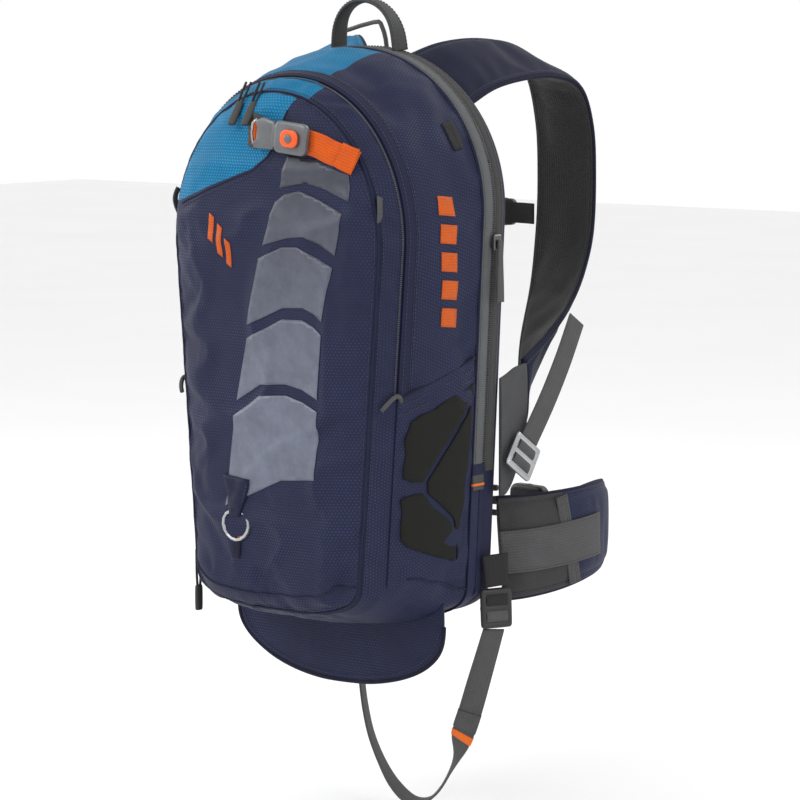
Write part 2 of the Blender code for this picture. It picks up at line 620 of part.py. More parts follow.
# Leg strap: it leaves the panel's lower middle, hangs in a loop and comes up to its buckle.
LEG_LOCK = Vector((0.1430, 0.0300, 0.0140))
LEG_ACROSS = Vector((0.45, 0.89, 0.0))
leg_tab_rows = [(0.1430, 0.0280, 0.0640, *LEG_ACROSS, 0.026),
                (0.1430, 0.0290, 0.0500, *LEG_ACROSS, 0.024),
                (0.1435, 0.0300, 0.0345, *LEG_ACROSS, 0.022)]
LEG_ROUTE = [
    (-0.0480, 0.0660, 0.0120, 0.20, -0.98, 0.0),
    (-0.0480, 0.0660, -0.0100, 0.25, -0.97, 0.0),
    (-0.0475, 0.0660, -0.0350, 0.35, -0.94, 0.0),
    (-0.0460, 0.0655, -0.0600, 0.42, -0.91, 0.0),
    (-0.0430, 0.0650, -0.0850, 0.45, -0.89, 0.0),
    (-0.0380, 0.0640, -0.1100, 0.45, -0.89, 0.0),
    (-0.0290, 0.0620, -0.1350, 0.45, -0.89, 0.0),
    (-0.0150, 0.0600, -0.1580, 0.42, -0.90, 0.0),
    (0.0030, 0.0570, -0.1770, 0.30, -0.95, 0.0),
    (0.0250, 0.0530, -0.1880, 0.15, -0.98, 0.0),
    (0.0480, 0.0490, -0.1850, 0.20, -0.96, -0.1),
    (0.0680, 0.0450, -0.1690, 0.40, -0.88, -0.15),
    (0.0840, 0.0420, -0.1450, 0.55, -0.78, -0.15),
    (0.0960, 0.0390, -0.1180, 0.62, 0.0, -0.18),
    (0.1080, 0.0370, -0.0900, 0.60, 0.40, -0.18),
    (0.1190, 0.0345, -0.0620, 0.55, 0.60, -0.15),
    (0.1300, 0.0325, -0.0330, 0.50, 0.80, -0.12),
    (0.1400, 0.0305, -0.0065, 0.45, 0.89, 0.0),
]
ribbon("leg_strap", [(*row, LEG_WEBBING_WIDTH) for row in LEG_ROUTE], WEBBING, GREY)
ribbon("leg_strap_tab", leg_tab_rows, 0.003, BLACK, per_step=2)
ladder_lock("leg_ladder_lock", LEG_LOCK, LEG_ACROSS, (-0.08, 0.0, 1), 0.031, 0.036, 0.005, BLACK)

# Bottom flap: a half-round skirt hung under the shell.
flap_hinge = (0, FLAP_PLACE, -0.003)
flap_rows = []
for i in range(15):
    x = FLAP_HALF * math.cos(math.pi * i / 14)
    depth = FLAP_DROP * math.sin(math.pi * i / 14) ** 0.8
    reach = min(abs(x) / side_half(LOW_DROP, share_at(FLAP_PLACE)), 1)
    base = LOW_DROP * (1 - (1 - reach ** 2.6) ** (1 / 2.6))
    flap_rows.append((x, base - 0.0035, min(-depth, base - 0.0075)))
rings = [[(x, FLAP_PLACE - 0.00125, top), (x, FLAP_PLACE + 0.00125, top),
          (x, FLAP_PLACE + 0.00125, low), (x, FLAP_PLACE - 0.00125, low)]
         for x, top, low in flap_rows]
points, faces = loft(rings)
add("bottom_flap", points, faces, NAVY, shell, flap_hinge)


def on_side(side, y, z, lift):
    """A place on the shell's side, lifted off it."""
    x = side_half(z, share_at(y))
    return (side * (x + lift * math.cos(PATCH_TILT)), y - lift * math.sin(PATCH_TILT), z)


# Side pockets: stretch fabric with a slanting top edge; a flat reinforcement patch on each.
for side, label in ((1, "right"), (-1, "left")):
    rings = []
    for i in range(5):
        y = -0.004 - 0.084 * i / 4
        top = 0.252 - 0.050 * i / 4
        low = LOW_DROP + 0.004
        rings.append([on_side(side, y, low, 0.0008), on_side(side, y, top, 0.0008),
                      on_side(side, y, top, 0.0024), on_side(side, y, low, 0.0024)])
    points, faces = loft(rings)
    add(f"side_pocket_{label}", points, faces, NAVY, shell)
    tilt = Matrix.Rotation(side * PATCH_TILT, 3, "Z")
    middle = Vector(on_side(side, -0.045, 0.130, 0.0))
    lean = math.atan2(side_half(0.21, 0.4) - side_half(0.05, 0.4), 0.16)
    turn = Matrix.Rotation(-side * PATCH_TILT, 3, "Z") @ Matrix.Rotation(side * lean, 3, "Y")
    out = turn @ Vector((side, 0, 0))
    block(f"side_patch_{label}", middle + out * 0.0068, (0.0036, 0.066, 0.130), RUBBER, shell,
          turn=turn)

# Main zip slider on the right side, and the pull that hangs from it.
SLIDER_Z = 0.352
SLIDER_STRAIGHT_TOP = 0.395
SLIDER_THICK = 0.004
PULL_THICK = 0.002
tape_face = side_half(SLIDER_STRAIGHT_TOP, 0.0) + TAPE_LIFT + TAPE_THICK
slider_x = tape_face + SLIDE_CLEAR + SLIDER_THICK / 2
slider = block("main_zip_slider", (slider_x, ZIP_PLANE, SLIDER_Z), (SLIDER_THICK, 0.011, 0.014),
               METAL, bevel=0.001)
pull_x = slider_x + SLIDER_THICK / 2 + SLIDE_CLEAR + PULL_THICK / 2 + 0.0005
block("main_zip_pull", (pull_x, ZIP_PLANE, SLIDER_Z - 0.026), (PULL_THICK, 0.009, 0.056), GREY,
      slider, pivot=(pull_x, ZIP_PLANE, SLIDER_Z), bevel=0.0006)

# Front pocket: two slider pulls lying over the rounded top edge.
PULL_SLOPE = Vector((0, -0.56, -0.83)).normalized()
PULL_PLACE_Y = -PACK_DEPTH + 0.0135
for x, label in ((-0.016, "right"), (-0.032, "left")):
    hinge = Vector((x, PULL_PLACE_Y, FRONT_HEIGHT + 0.0050))
    turn = Matrix.Rotation(-math.atan2(-PULL_SLOPE.y, -PULL_SLOPE.z), 3, "X")
    block(f"pocket_pull_{label}", hinge + PULL_SLOPE * 0.022, (0.009, 0.003, 0.046), BLACK,
          pocket_cover, pivot=hinge, bevel=0.0008, turn=turn)

# Tool strap across the top of the pocket: orange webbing, its cast buckle and its lever.
front = -PACK_DEPTH - FRONT_CROWN - CLEAR
strap_front = front - 0.0015
TOOL_PLACE_Z = FRONT_HEIGHT - 0.0380
tool_rows = [(-0.0110, strap_front, TOOL_PLACE_Z), (0.0300, strap_front, TOOL_PLACE_Z - 0.0040),
             (0.0620, strap_front + 0.0010, TOOL_PLACE_Z - 0.0100),
             (0.0860, strap_front + 0.0028, TOOL_PLACE_Z - 0.0170),
             (0.0985, strap_front + 0.0078, TOOL_PLACE_Z - 0.0220)]
ribbon("tool_strap", [(*row, 0, 0, 1, 0.022) for row in tool_rows], WEBBING, ORANGE, pocket_cover)
buckle_turn = Matrix.Rotation(math.radians(6), 3, "Y")
BUCKLE_THICK = 0.008
LEVER_THICK = 0.003
buckle_y = strap_front - WEBBING / 2 - CLEAR - BUCKLE_THICK / 2 - 0.0005
block("tool_buckle", (0.027, buckle_y, TOOL_PLACE_Z - 0.0035), (0.062, BUCKLE_THICK, 0.030), CAST, pocket_cover,
      bevel=0.0025, turn=buckle_turn)
lever_y = buckle_y - BUCKLE_THICK / 2 - SLIDE_CLEAR - LEVER_THICK / 2
block("tool_buckle_lever", (0.041, lever_y, TOOL_PLACE_Z - 0.0050), (0.020, LEVER_THICK, 0.016),
      ORANGE, pocket_cover, pivot=(0.032, lever_y, TOOL_PLACE_Z - 0.0040), bevel=0.0008,
      turn=buckle_turn)

# Gear loop on the lower front: a webbing tab and the steel D-ring in it.
RING_PLACE = Vector((-0.031, front - 0.0045, 0.108))
block("d_ring_tab", (RING_PLACE.x, front - 0.001, RING_PLACE.z + 0.010), (0.020, 0.0018, 0.034),
      NAVY, shell)
RING_HALF_WIDTH = 0.015
RING_HALF_HEIGHT = 0.0135
RING_WIRE_RADIUS = 0.0018
RING_POINTS = 16
ring_route = []
for i in range(RING_POINTS):
    turn = 2 * math.pi * i / RING_POINTS
    half = RING_HALF_WIDTH * (1.0 + 0.12 * math.cos(turn))
    ring_route.append((RING_PLACE.x + half * math.sin(turn), RING_PLACE.y,
                       RING_PLACE.z - RING_HALF_HEIGHT * (1 - math.cos(turn))))
tube("d_ring", ring_route, RING_WIRE_RADIUS, METAL, shell, closed=True, pivot=RING_PLACE)

# Lower left compartment zip: a cord pull that hangs free.
pull_place = Vector(on_side(-1, -0.088, 0.058, 0.006))
block("bottom_zip_pull", pull_place + Vector((0, 0, -0.029)), (0.004, 0.009, 0.058), BLACK, shell,
      pivot=pull_place, bevel=0.001)
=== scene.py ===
"""Avalanche airbag backpack, dressed: sewn cloth, padding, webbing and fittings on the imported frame."""
import math

import bmesh
import bpy
import numpy as np
from mathutils import Matrix, Vector, kdtree, noise
from mathutils.bvhtree import BVHTree
from mathutils.geometry import delaunay_2d_cdt


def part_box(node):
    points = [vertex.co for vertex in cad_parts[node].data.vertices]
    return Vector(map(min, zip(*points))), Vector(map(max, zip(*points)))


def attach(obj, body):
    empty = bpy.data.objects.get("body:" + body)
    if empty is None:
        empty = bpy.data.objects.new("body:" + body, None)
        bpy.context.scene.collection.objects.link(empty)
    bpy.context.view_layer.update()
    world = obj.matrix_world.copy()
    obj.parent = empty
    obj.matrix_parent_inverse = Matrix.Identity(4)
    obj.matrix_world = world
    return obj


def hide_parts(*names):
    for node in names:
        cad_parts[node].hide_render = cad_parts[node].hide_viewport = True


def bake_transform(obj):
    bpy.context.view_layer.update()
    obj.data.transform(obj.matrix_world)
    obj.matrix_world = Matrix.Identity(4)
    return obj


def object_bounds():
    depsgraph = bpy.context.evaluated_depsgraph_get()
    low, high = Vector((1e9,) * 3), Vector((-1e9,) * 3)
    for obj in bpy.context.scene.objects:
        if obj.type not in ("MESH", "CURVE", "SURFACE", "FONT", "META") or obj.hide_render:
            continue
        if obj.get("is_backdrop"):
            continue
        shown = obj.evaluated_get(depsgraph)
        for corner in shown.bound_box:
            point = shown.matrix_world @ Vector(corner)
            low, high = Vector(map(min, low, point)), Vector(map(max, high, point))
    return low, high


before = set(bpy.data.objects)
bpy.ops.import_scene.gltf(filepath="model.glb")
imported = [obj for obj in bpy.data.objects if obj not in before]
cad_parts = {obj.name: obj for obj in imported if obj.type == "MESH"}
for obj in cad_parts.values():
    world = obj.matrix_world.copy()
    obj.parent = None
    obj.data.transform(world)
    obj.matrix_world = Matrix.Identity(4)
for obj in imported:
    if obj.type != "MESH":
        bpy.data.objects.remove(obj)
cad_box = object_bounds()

# ---------------------------------------------------------------- Studio
# The pack hangs by its haul loop above a pale floor, in a white room with large soft lamps.
# The base of the pack stands at z = 0 in the maker's own frame; the row frame hangs from the loop.
PACK = np.array((0.0, -0.0225, -0.5665))
FLOOR_GAP = 0.012
FLOOR_Z = cad_box[0][2] - FLOOR_GAP
CAMERA_AZIMUTH = math.radians(38)
CAMERA_ELEVATION = math.radians(7)
CAMERA_DISTANCE = 3.0
FRAME_WIDTH = 0.744
AIM_HEIGHT, AIM_RIGHT, AIM_DOWN = 0.26, 0.0428, 0.0609
LAMP_AIM_HEIGHT = 0.25
SENSOR = 36.0

forward = Vector((-math.sin(CAMERA_AZIMUTH) * math.cos(CAMERA_ELEVATION),
                  math.cos(CAMERA_AZIMUTH) * math.cos(CAMERA_ELEVATION),
                  -math.sin(CAMERA_ELEVATION)))
rightward = Vector((math.cos(CAMERA_AZIMUTH), math.sin(CAMERA_AZIMUTH), 0))
upward = rightward.cross(forward)
aim = Vector(PACK) + Vector((0, 0, AIM_HEIGHT)) + rightward * AIM_RIGHT - upward * AIM_DOWN
camera_data = bpy.data.cameras.new("camera")
camera_data.lens = SENSOR * CAMERA_DISTANCE / FRAME_WIDTH
camera_data.sensor_width = SENSOR
camera = bpy.data.objects.new("camera", camera_data)
bpy.context.scene.collection.objects.link(camera)
camera.location = aim - forward * CAMERA_DISTANCE
camera.rotation_euler = forward.to_track_quat("-Z", "Y").to_euler()
bpy.context.scene.camera = camera


class Finish:
    """A material built up node by node; the last lines of each finish plug it in."""

    def __init__(self, name):
        self.material = bpy.data.materials.new(name)
        self.material.use_nodes = True
        self.tree = self.material.node_tree
        self.shader = self.tree.nodes["Principled BSDF"]

    def node(self, kind, *links, **settings):
        made = self.tree.nodes.new(kind)
        for key, value in settings.items():
            setattr(made, key, value)
        for place, value in enumerate(links):
            self.plug(value, made.inputs[place])
        return made

    def plug(self, value, socket):
        if value is None:
            return
        if isinstance(value, bpy.types.NodeSocket):
            self.tree.links.new(value, socket)
        elif isinstance(value, bpy.types.Node):
            self.tree.links.new(value.outputs[0], socket)
        elif hasattr(value, "__len__") and len(value) == 3 and len(socket.default_value) == 4:
            socket.default_value = (*value, 1)
        else:
            socket.default_value = value

    def sums(self, operation, *values):
        return self.node("ShaderNodeMath", *values, operation=operation)

    def mix(self, share, first, second):
        made = self.node("ShaderNodeMix", data_type="RGBA")
        self.plug(share, made.inputs[0])
        self.plug(first, made.inputs[6])
        self.plug(second, made.inputs[7])
        return made.outputs[2]

    def spread(self, value, low, high, to_low=0.0, to_high=1.0):
        return self.node("ShaderNodeMapRange", value, low, high, to_low, to_high)

    def speckle(self, place, scale, detail=2.0, rough=0.5):
        made = self.node("ShaderNodeTexNoise")
        self.plug(place, made.inputs["Vector"])
        made.inputs["Scale"].default_value = scale
        made.inputs["Detail"].default_value = detail
        made.inputs["Roughness"].default_value = rough
        return made

    def done(self, colour, roughness, height=None, depth=0.0005, strength=0.6, **sockets):
        self.plug(colour, self.shader.inputs["Base Color"])
        self.plug(roughness, self.shader.inputs["Roughness"])
        for key, value in sockets.items():
            self.plug(value, self.shader.inputs[key.replace("_", " ")])
        if height is not None:
            bump = self.node("ShaderNodeBump")
            bump.inputs["Strength"].default_value = strength
            bump.inputs["Distance"].default_value = depth
            self.plug(height, bump.inputs["Height"])
            self.plug(bump, self.shader.inputs["Normal"])
        return self.material


def lamp(name, place, size, power, colour=(1, 1, 1)):
    data = bpy.data.lights.new(name, "AREA")
    data.energy = power
    data.size = size
    data.color = colour
    made = bpy.data.objects.new(name, data)
    bpy.context.scene.collection.objects.link(made)
    middle = Vector(PACK) + Vector((0, 0, LAMP_AIM_HEIGHT))
    made.location = middle + Vector(place)
    made.rotation_euler = (middle - made.location).to_track_quat("-Z", "Y").to_euler()


lamp("key", (-0.9, -2.3, 1.7), 1.0, 26)
lamp("side", (2.4, -0.5, 0.9), 0.9, 12)
lamp("rim", (0.6, 2.0, 1.8), 1.0, 12)
lamp("left", (-2.3, -0.4, 0.8), 1.0, 12)
world = bpy.data.worlds.new("white_room")
world.use_nodes = True
world.node_tree.nodes["Background"].inputs[0].default_value = (1.0, 1.0, 1.0, 1)
world.node_tree.nodes["Background"].inputs[1].default_value = 1.0
bpy.context.scene.world = world
bpy.context.scene.view_settings.view_transform = "Standard"
floor_mesh = bpy.data.meshes.new("floor")
floor_mesh.from_pydata([(-8, -8, FLOOR_Z), (8, -8, FLOOR_Z), (8, 8, FLOOR_Z), (-8, 8, FLOOR_Z)],
                       [], [(0, 1, 2, 3)])
floor = bpy.data.objects.new("floor", floor_mesh)
bpy.context.scene.collection.objects.link(floor)
pale = Finish("pale_floor")
pale_noise = pale.speckle(pale.node("ShaderNodeTexCoord").outputs["Object"], 3.0)
floor_mesh.materials.append(pale.done(
    pale.mix(pale_noise.outputs[0], (0.86, 0.86, 0.86), (0.90, 0.90, 0.90)), 0.7))
floor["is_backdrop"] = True

# ---------------------------------------------------------------- Leg strap
# A flat grey webbing 22 mm wide, sewn to the panel's lower middle. It hangs in a loop, twists once,
# and comes up to a three-bar buckle on a webbing tab at the lower right corner.


def smooth_rows(rows, per_step):
    """Rows of numbers on a smooth curve through the given rows."""
    found = []
    for i in range(len(rows) - 1):
        before, after = rows[max(i - 1, 0)], rows[min(i + 2, len(rows) - 1)]
        for k in range(per_step):
            t = k / per_step
            found.append([0.5 * (2 * b + (c - a) * t + (2 * a - 5 * b + 4 * c - d) * t * t
                                 + (3 * b - a - 3 * c + d) * t ** 3)
                          for a, b, c, d in zip(before, rows[i], rows[i + 1], after)])
    found.append(list(rows[-1]))
    return np.array(found)


def skin(name, grid, cut, finishes, pick=None, closed=False, capped=False):
    """A mesh through rows of points in the pack's frame; cut gives each point's place on the cloth."""
    grid = np.asarray(grid, float)
    rows, columns = grid.shape[:2]
    points = (grid + PACK).reshape(-1, 3)
    spans = columns if closed else columns - 1
    faces, corners, slots = [], [], []
    for i in range(rows - 1):
        for j in range(spans):
            k = (j + 1) % columns
            faces.append((i * columns + j, i * columns + k, (i + 1) * columns + k,
                          (i + 1) * columns + j))
            corners.append((cut[i][j], cut[i][j + 1], cut[i + 1][j + 1], cut[i + 1][j]))
            slots.append(pick(i, j) if pick else 0)
    if capped:
        for i in (0, rows - 1):
            faces.append(tuple(i * columns + j for j in range(columns)))
            corners.append([cut[i][j] for j in range(columns)])
            slots.append(0)
    mesh = bpy.data.meshes.new(name)
    mesh.from_pydata(points.tolist(), [], faces)
    flat = mesh.uv_layers.new(name="cut")
    flat.data.foreach_set("uv", np.array([p[:2] for face in corners for p in face]).ravel())
    for finish in finishes:
        mesh.materials.append(finish)
    mesh.polygons.foreach_set("material_index", slots)
    shape = bmesh.new()
    shape.from_mesh(mesh)
    if capped:
        bmesh.ops.recalc_face_normals(shape, faces=shape.faces)
    shape.to_mesh(mesh)
    shape.free()
    mesh.shade_smooth()
    made = bpy.data.objects.new(name, mesh)
    bpy.context.scene.collection.objects.link(made)
    return made


def strip(name, rows, thickness, finishes, per_step=6, profile=None, pick=None, square=True,
          wave=0.0):
    """A long piece swept along its rows (place, direction across, width) with a given profile."""
    rows = smooth_rows(rows, per_step)
    if profile is None:
        profile = [(-1, -0.35), (-0.97, -0.5), (-0.5, -0.5), (0, -0.5), (0.5, -0.5), (0.97, -0.5),
                   (1, -0.35), (1, 0.35), (0.97, 0.5), (0.5, 0.5), (0, 0.5), (-0.5, 0.5),
                   (-0.97, 0.5), (-1, 0.35)]
    grid, cut, run = [], [], 0.0
    for i, row in enumerate(rows):
        place = row[:3]
        along = rows[min(i + 1, len(rows) - 1)][:3] - rows[max(i - 1, 0)][:3]
        along /= np.linalg.norm(along)
        across = row[3:6].copy()
        if square:
            across -= along * across.dot(along)
        across /= np.linalg.norm(across)
        up = np.cross(across, along)
        up /= np.linalg.norm(up)
        if i:
            run += np.linalg.norm(place - rows[i - 1][:3])
        sway = wave * noise.noise(Vector((run * 14, 3.1, 0)))
        half = row[6] / 2
        grid.append([place + across * half * a + up * (thickness * b + sway * (1 - abs(a) * 0.4))
                     for a, b in profile])
        girth = [0.0]
        for (a, b), (c, d) in zip(profile, profile[1:] + profile[:1]):
            girth.append(girth[-1] + math.hypot((c - a) * half, (d - b) * thickness))
        cut.append([(g, run) for g in girth])
    return skin(name, grid, cut, finishes, pick, closed=True, capped=True)


def round_off(piece, width, segments=2):
    edges = piece.modifiers.new("edges", "BEVEL")
    edges.width = width
    edges.segments = segments
    edges.limit_method = "ANGLE"
    edges.angle_limit = math.radians(40)
    piece.data.shade_smooth()
    return piece


def webbing_weave(name, colour, pitch=0.0016, sheen=0.03):
    """Woven webbing: a fine herringbone of ridges along the strip, a little paler where it rubs."""
    f = Finish(name)
    flat = f.node("ShaderNodeUVMap", uv_map="cut")
    split = f.node("ShaderNodeSeparateXYZ", flat)
    across, along = split.outputs[0], split.outputs[1]
    zig = f.sums("PINGPONG", across, pitch * 1.6)
    slope = f.sums("ADD", along, zig)
    ridges = f.sums("SINE", f.sums("MULTIPLY", slope, 2 * math.pi / pitch))
    cords = f.sums("SINE", f.sums("MULTIPLY", across, 2 * math.pi / (pitch * 1.6)))
    weave = f.sums("ADD", f.sums("MULTIPLY", ridges, 0.5), f.sums("MULTIPLY", cords, 0.5))
    place = f.node("ShaderNodeTexCoord").outputs["Object"]
    worn = f.speckle(place, 60, 4.0, 0.6)
    fuzz = f.speckle(place, 1400, 2.0)
    shade = f.spread(weave, -1, 1, 0.78, 1.12)
    tone = f.sums("MULTIPLY", shade, f.spread(worn.outputs[0], 0.25, 0.75, 0.85, 1.15))
    tone = f.sums("MULTIPLY", tone, f.spread(fuzz.outputs[0], 0.3, 0.7, 0.9, 1.1))
    scaled = f.node("ShaderNodeVectorMath", colour, None, operation="SCALE")
    f.plug(tone, scaled.inputs["Scale"])
    height = f.sums("ADD", weave, f.sums("MULTIPLY", fuzz.outputs[0], 0.6))
    rough = f.spread(worn.outputs[0], 0.3, 0.7, 0.68, 0.86)
    return f.done(scaled, rough, height, 0.0003, 0.7, Sheen_Weight=sheen, Sheen_Roughness=0.4,
                  Specular_IOR_Level=0.25)


GREY_WEBBING = webbing_weave("grey_webbing_weave", (0.075, 0.074, 0.077))
LEG_WIDTH, LEG_THICKNESS, LEG_STEPS = 0.022, 0.0017, 8
TACK_FROM, KEEPER_FROM, KEEPER_END = 104, 107, 113
LEG_ROUTE = [
    (-0.0480, 0.0660, 0.0120, 0.20, -0.98, 0.0), (-0.0480, 0.0660, -0.0100, 0.25, -0.97, 0.0),
    (-0.0475, 0.0660, -0.0350, 0.35, -0.94, 0.0), (-0.0460, 0.0655, -0.0600, 0.42, -0.91, 0.0),
    (-0.0430, 0.0650, -0.0850, 0.45, -0.89, 0.0), (-0.0380, 0.0640, -0.1100, 0.45, -0.89, 0.0),
    (-0.0290, 0.0620, -0.1350, 0.45, -0.89, 0.0), (-0.0150, 0.0600, -0.1580, 0.42, -0.90, 0.0),
    (0.0030, 0.0570, -0.1770, 0.30, -0.95, 0.0), (0.0250, 0.0530, -0.1880, 0.15, -0.98, 0.0),
    (0.0480, 0.0490, -0.1850, 0.20, -0.96, -0.1), (0.0680, 0.0450, -0.1690, 0.40, -0.88, -0.15),
    (0.0840, 0.0420, -0.1450, 0.55, -0.78, -0.15), (0.0960, 0.0390, -0.1180, 0.62, 0.0, -0.18),
    (0.1080, 0.0370, -0.0900, 0.60, 0.40, -0.18), (0.1190, 0.0345, -0.0620, 0.55, 0.60, -0.15),
    (0.1300, 0.0325, -0.0330, 0.50, 0.80, -0.12), (0.1400, 0.0305, -0.0065, 0.45, 0.89, 0.0)]
leg_rows = [(*row, LEG_WIDTH) for row in LEG_ROUTE]
leg_strap = strip("leg_strap_webbing", leg_rows, LEG_THICKNESS, [GREY_WEBBING], LEG_STEPS)
leg_fine = smooth_rows(leg_rows, LEG_STEPS)
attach(leg_strap, "root")
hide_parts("leg_strap")

# An orange bar tack marks where the strap's free end is folded and sewn, with a keeper beside it.
ORANGE_THREAD = webbing_weave("orange_thread", (0.80, 0.16, 0.02), 0.0009)
tack_rows = [(*row[:6], LEG_WIDTH + 0.001) for row in leg_fine[TACK_FROM:KEEPER_FROM]]
leg_tack = strip("leg_strap_tack", tack_rows, 0.0030, [ORANGE_THREAD], 2)
keeper_rows = [(*row[:6], LEG_WIDTH + 0.0008) for row in leg_fine[KEEPER_FROM:KEEPER_END]]
leg_keeper = strip("leg_strap_keeper", keeper_rows, 0.0040, [GREY_WEBBING], 2)
for piece, finish in ((leg_tack, "orange_webbing"), (leg_keeper, "grey_webbing")):
    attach(piece, "root")

# ---------------------------------------------------------------- Back panel, frame sheet and stays
# A foam-filled cover of navy cloth and black spacer mesh, lofted round the pack's outline. A plastic
# frame sheet with two aluminium stays lies in a sleeve on its inner side.
PACK_HEIGHT, PACK_DEPTH, TOP_FALL, FRONT_BASE = 0.525, 0.124, 0.035, 0.012
LOW_DROP, HIGH_DROP = 0.040, 0.145
LOW_POWER, HIGH_POWER = 2.6, 2.05
ZIP_PLANE, ZIP_END = 0.0148, 0.142
OUTLINE_STEPS = 240


def side_half(z, share):
    """Half width at a height, share 0 at the zip band and 1 at the front face."""
    low, high = 0.1326 - 0.0341 * share, 0.149 - 0.0237 * share
    rise = (z - LOW_DROP) / (PACK_HEIGHT - HIGH_DROP - LOW_DROP)
    return low + (high - low) * min(max(rise, 0), 1)


def share_at(y):
    return min(max(-y / PACK_DEPTH, 0), 1)


def outline_at(t, share, inset=0.0):
    """A place on the outline: t runs 0 to 1 from the bottom's middle up the right side and round."""
    side = 1 if t <= 0.5 else -1
    t = 2 * (t if t <= 0.5 else 1 - t)
    high = PACK_HEIGHT - TOP_FALL * share
    low_z, high_z = LOW_DROP + FRONT_BASE * share, high - HIGH_DROP
    if t < 0.25:
        turn = math.pi / 2 * t / 0.25
        x = (side_half(low_z, share) - inset) * math.sin(turn) ** (2 / LOW_POWER)
        z = low_z - (LOW_DROP - inset) * max(math.cos(turn), 0) ** (2 / LOW_POWER)
    elif t < 0.60:
        z = low_z + (high_z - low_z) * (t - 0.25) / 0.35
        x = side_half(z, share) - inset
    else:
        turn = math.pi / 2 * (t - 0.60) / 0.40
        x = (side_half(high_z, share) - inset) * max(math.cos(turn), 0) ** (2 / HIGH_POWER)
        z = high_z + (HIGH_DROP - inset) * math.sin(turn) ** (2 / HIGH_POWER)
    return side * x, z


def even_turns(count):
    """Values of t that divide the outline at mid depth into equal lengths."""
    fine = [i / 2000 for i in range(2001)]
    places = np.array([outline_at(t, 0.5) for t in fine])
    run = np.concatenate([[0], np.cumsum(np.linalg.norm(np.diff(places, axis=0), axis=1))])
    return np.interp(np.linspace(0, run[-1], count + 1), run, fine)[:-1], float(run[-1])


TURNS, GIRTH = even_turns(OUTLINE_STEPS)


def ring(y, inset=0.0, share=None):
    share = share_at(y) if share is None else share
    return [(x, y, z) for x, z in (outline_at(t, share, inset) for t in TURNS)]


def drawn_in(points, factor, y, rise=0.55):
    """A ring drawn in towards the middle line, so that it ends as an upright spine."""
    middle = (min(p[2] for p in points) + max(p[2] for p in points)) / 2
    keep = 1 - (1 - factor) * rise
    return [(p[0] * factor, y, middle + (p[2] - middle) * keep) for p in points]


def pack_cloth(name, colour, second=None, edge=None, dots=1.0, dull=0.62):
    """Coated pack cloth with a small embossed dot on every crossing of its fine ribs."""
    f = Finish(name)
    flat = f.node("ShaderNodeUVMap", uv_map="cut")
    split = f.node("ShaderNodeSeparateXYZ", flat)
    u, v = split.outputs[0], split.outputs[1]
    pitch = 0.0031
    waves = []
    for angle in (0, 60, 120):
        a = math.radians(angle + 90)
        step = 2 * math.pi / (pitch * 0.866)
        line = f.sums("ADD", f.sums("MULTIPLY", u, step * math.cos(a)),
                      f.sums("MULTIPLY", v, step * math.sin(a)))
        waves.append(f.sums("COSINE", line))
    hexes = f.sums("ADD", f.sums("ADD", waves[0], waves[1]), waves[2])
    dot = f.spread(hexes, 0.2, 2.4)
    place = f.node("ShaderNodeTexCoord").outputs["Object"]
    weave = f.speckle(place, 2600, 2.0)
    cloud = f.speckle(place, 9, 5.0, 0.6)
    scuff = f.speckle(place, 70, 6.0, 0.7)
    fade = f.spread(cloud.outputs[0], 0.35, 0.65, 0.25 * dots, dots)
    raised = f.sums("MULTIPLY", dot, fade)
    base = colour
    if second is not None:
        base = f.mix(edge(f, u, v), colour, second)
    ribs = f.sums("PINGPONG", v, 0.00085)
    tone = f.sums("ADD", f.sums("MULTIPLY", raised, 1.15), f.spread(ribs, 0, 0.00085, 0.66, 0.86))
    tone = f.sums("MULTIPLY", tone, f.spread(scuff.outputs[0], 0.2, 0.8, 0.86, 1.14))
    tone = f.sums("MULTIPLY", tone, f.spread(weave.outputs[0], 0.3, 0.7, 0.88, 1.12))
    scaled = f.node("ShaderNodeVectorMath", base, None, operation="SCALE")
    f.plug(tone, scaled.inputs["Scale"])
    height = f.sums("ADD", f.sums("MULTIPLY", raised, 0.8), f.sums("MULTIPLY", weave.outputs[0], 0.3))
    rough = f.sums("SUBTRACT", dull, f.sums("MULTIPLY", raised, 0.18))
    return f.done(scaled, rough, height, 0.00035, 0.75, Sheen_Weight=0.02, Sheen_Roughness=0.45,
                  Specular_IOR_Level=0.22)


def spacer_mesh(name, colour, pitch=0.0028):
    """Knitted spacer mesh: rows of small open holes in a soft dull knit."""
    f = Finish(name)
    flat = f.node("ShaderNodeUVMap", uv_map="cut")
    holes = f.node("ShaderNodeTexVoronoi", feature="F1")
    scale = f.node("ShaderNodeVectorMath", flat, (1 / pitch, 1.3 / pitch, 1), operation="MULTIPLY")
    f.plug(scale, holes.inputs["Vector"])
    holes.inputs["Scale"].default_value = 1.0
    holes.inputs["Randomness"].default_value = 0.12
    open_ = f.spread(holes.outputs["Distance"], 0.16, 0.34)
    fuzz = f.speckle(f.node("ShaderNodeTexCoord").outputs["Object"], 900, 3.0)
    tone = f.sums("MULTIPLY", f.spread(open_, 0, 1, 0.30, 1.0),
                  f.spread(fuzz.outputs[0], 0.3, 0.7, 0.75, 1.25))
    scaled = f.node("ShaderNodeVectorMath", colour, None, operation="SCALE")
    f.plug(tone, scaled.inputs["Scale"])
    return f.done(scaled, 0.9, f.sums("ADD", open_, f.sums("MULTIPLY", fuzz.outputs[0], 0.4)),
                  0.0006, 0.8, Sheen_Weight=0.15)


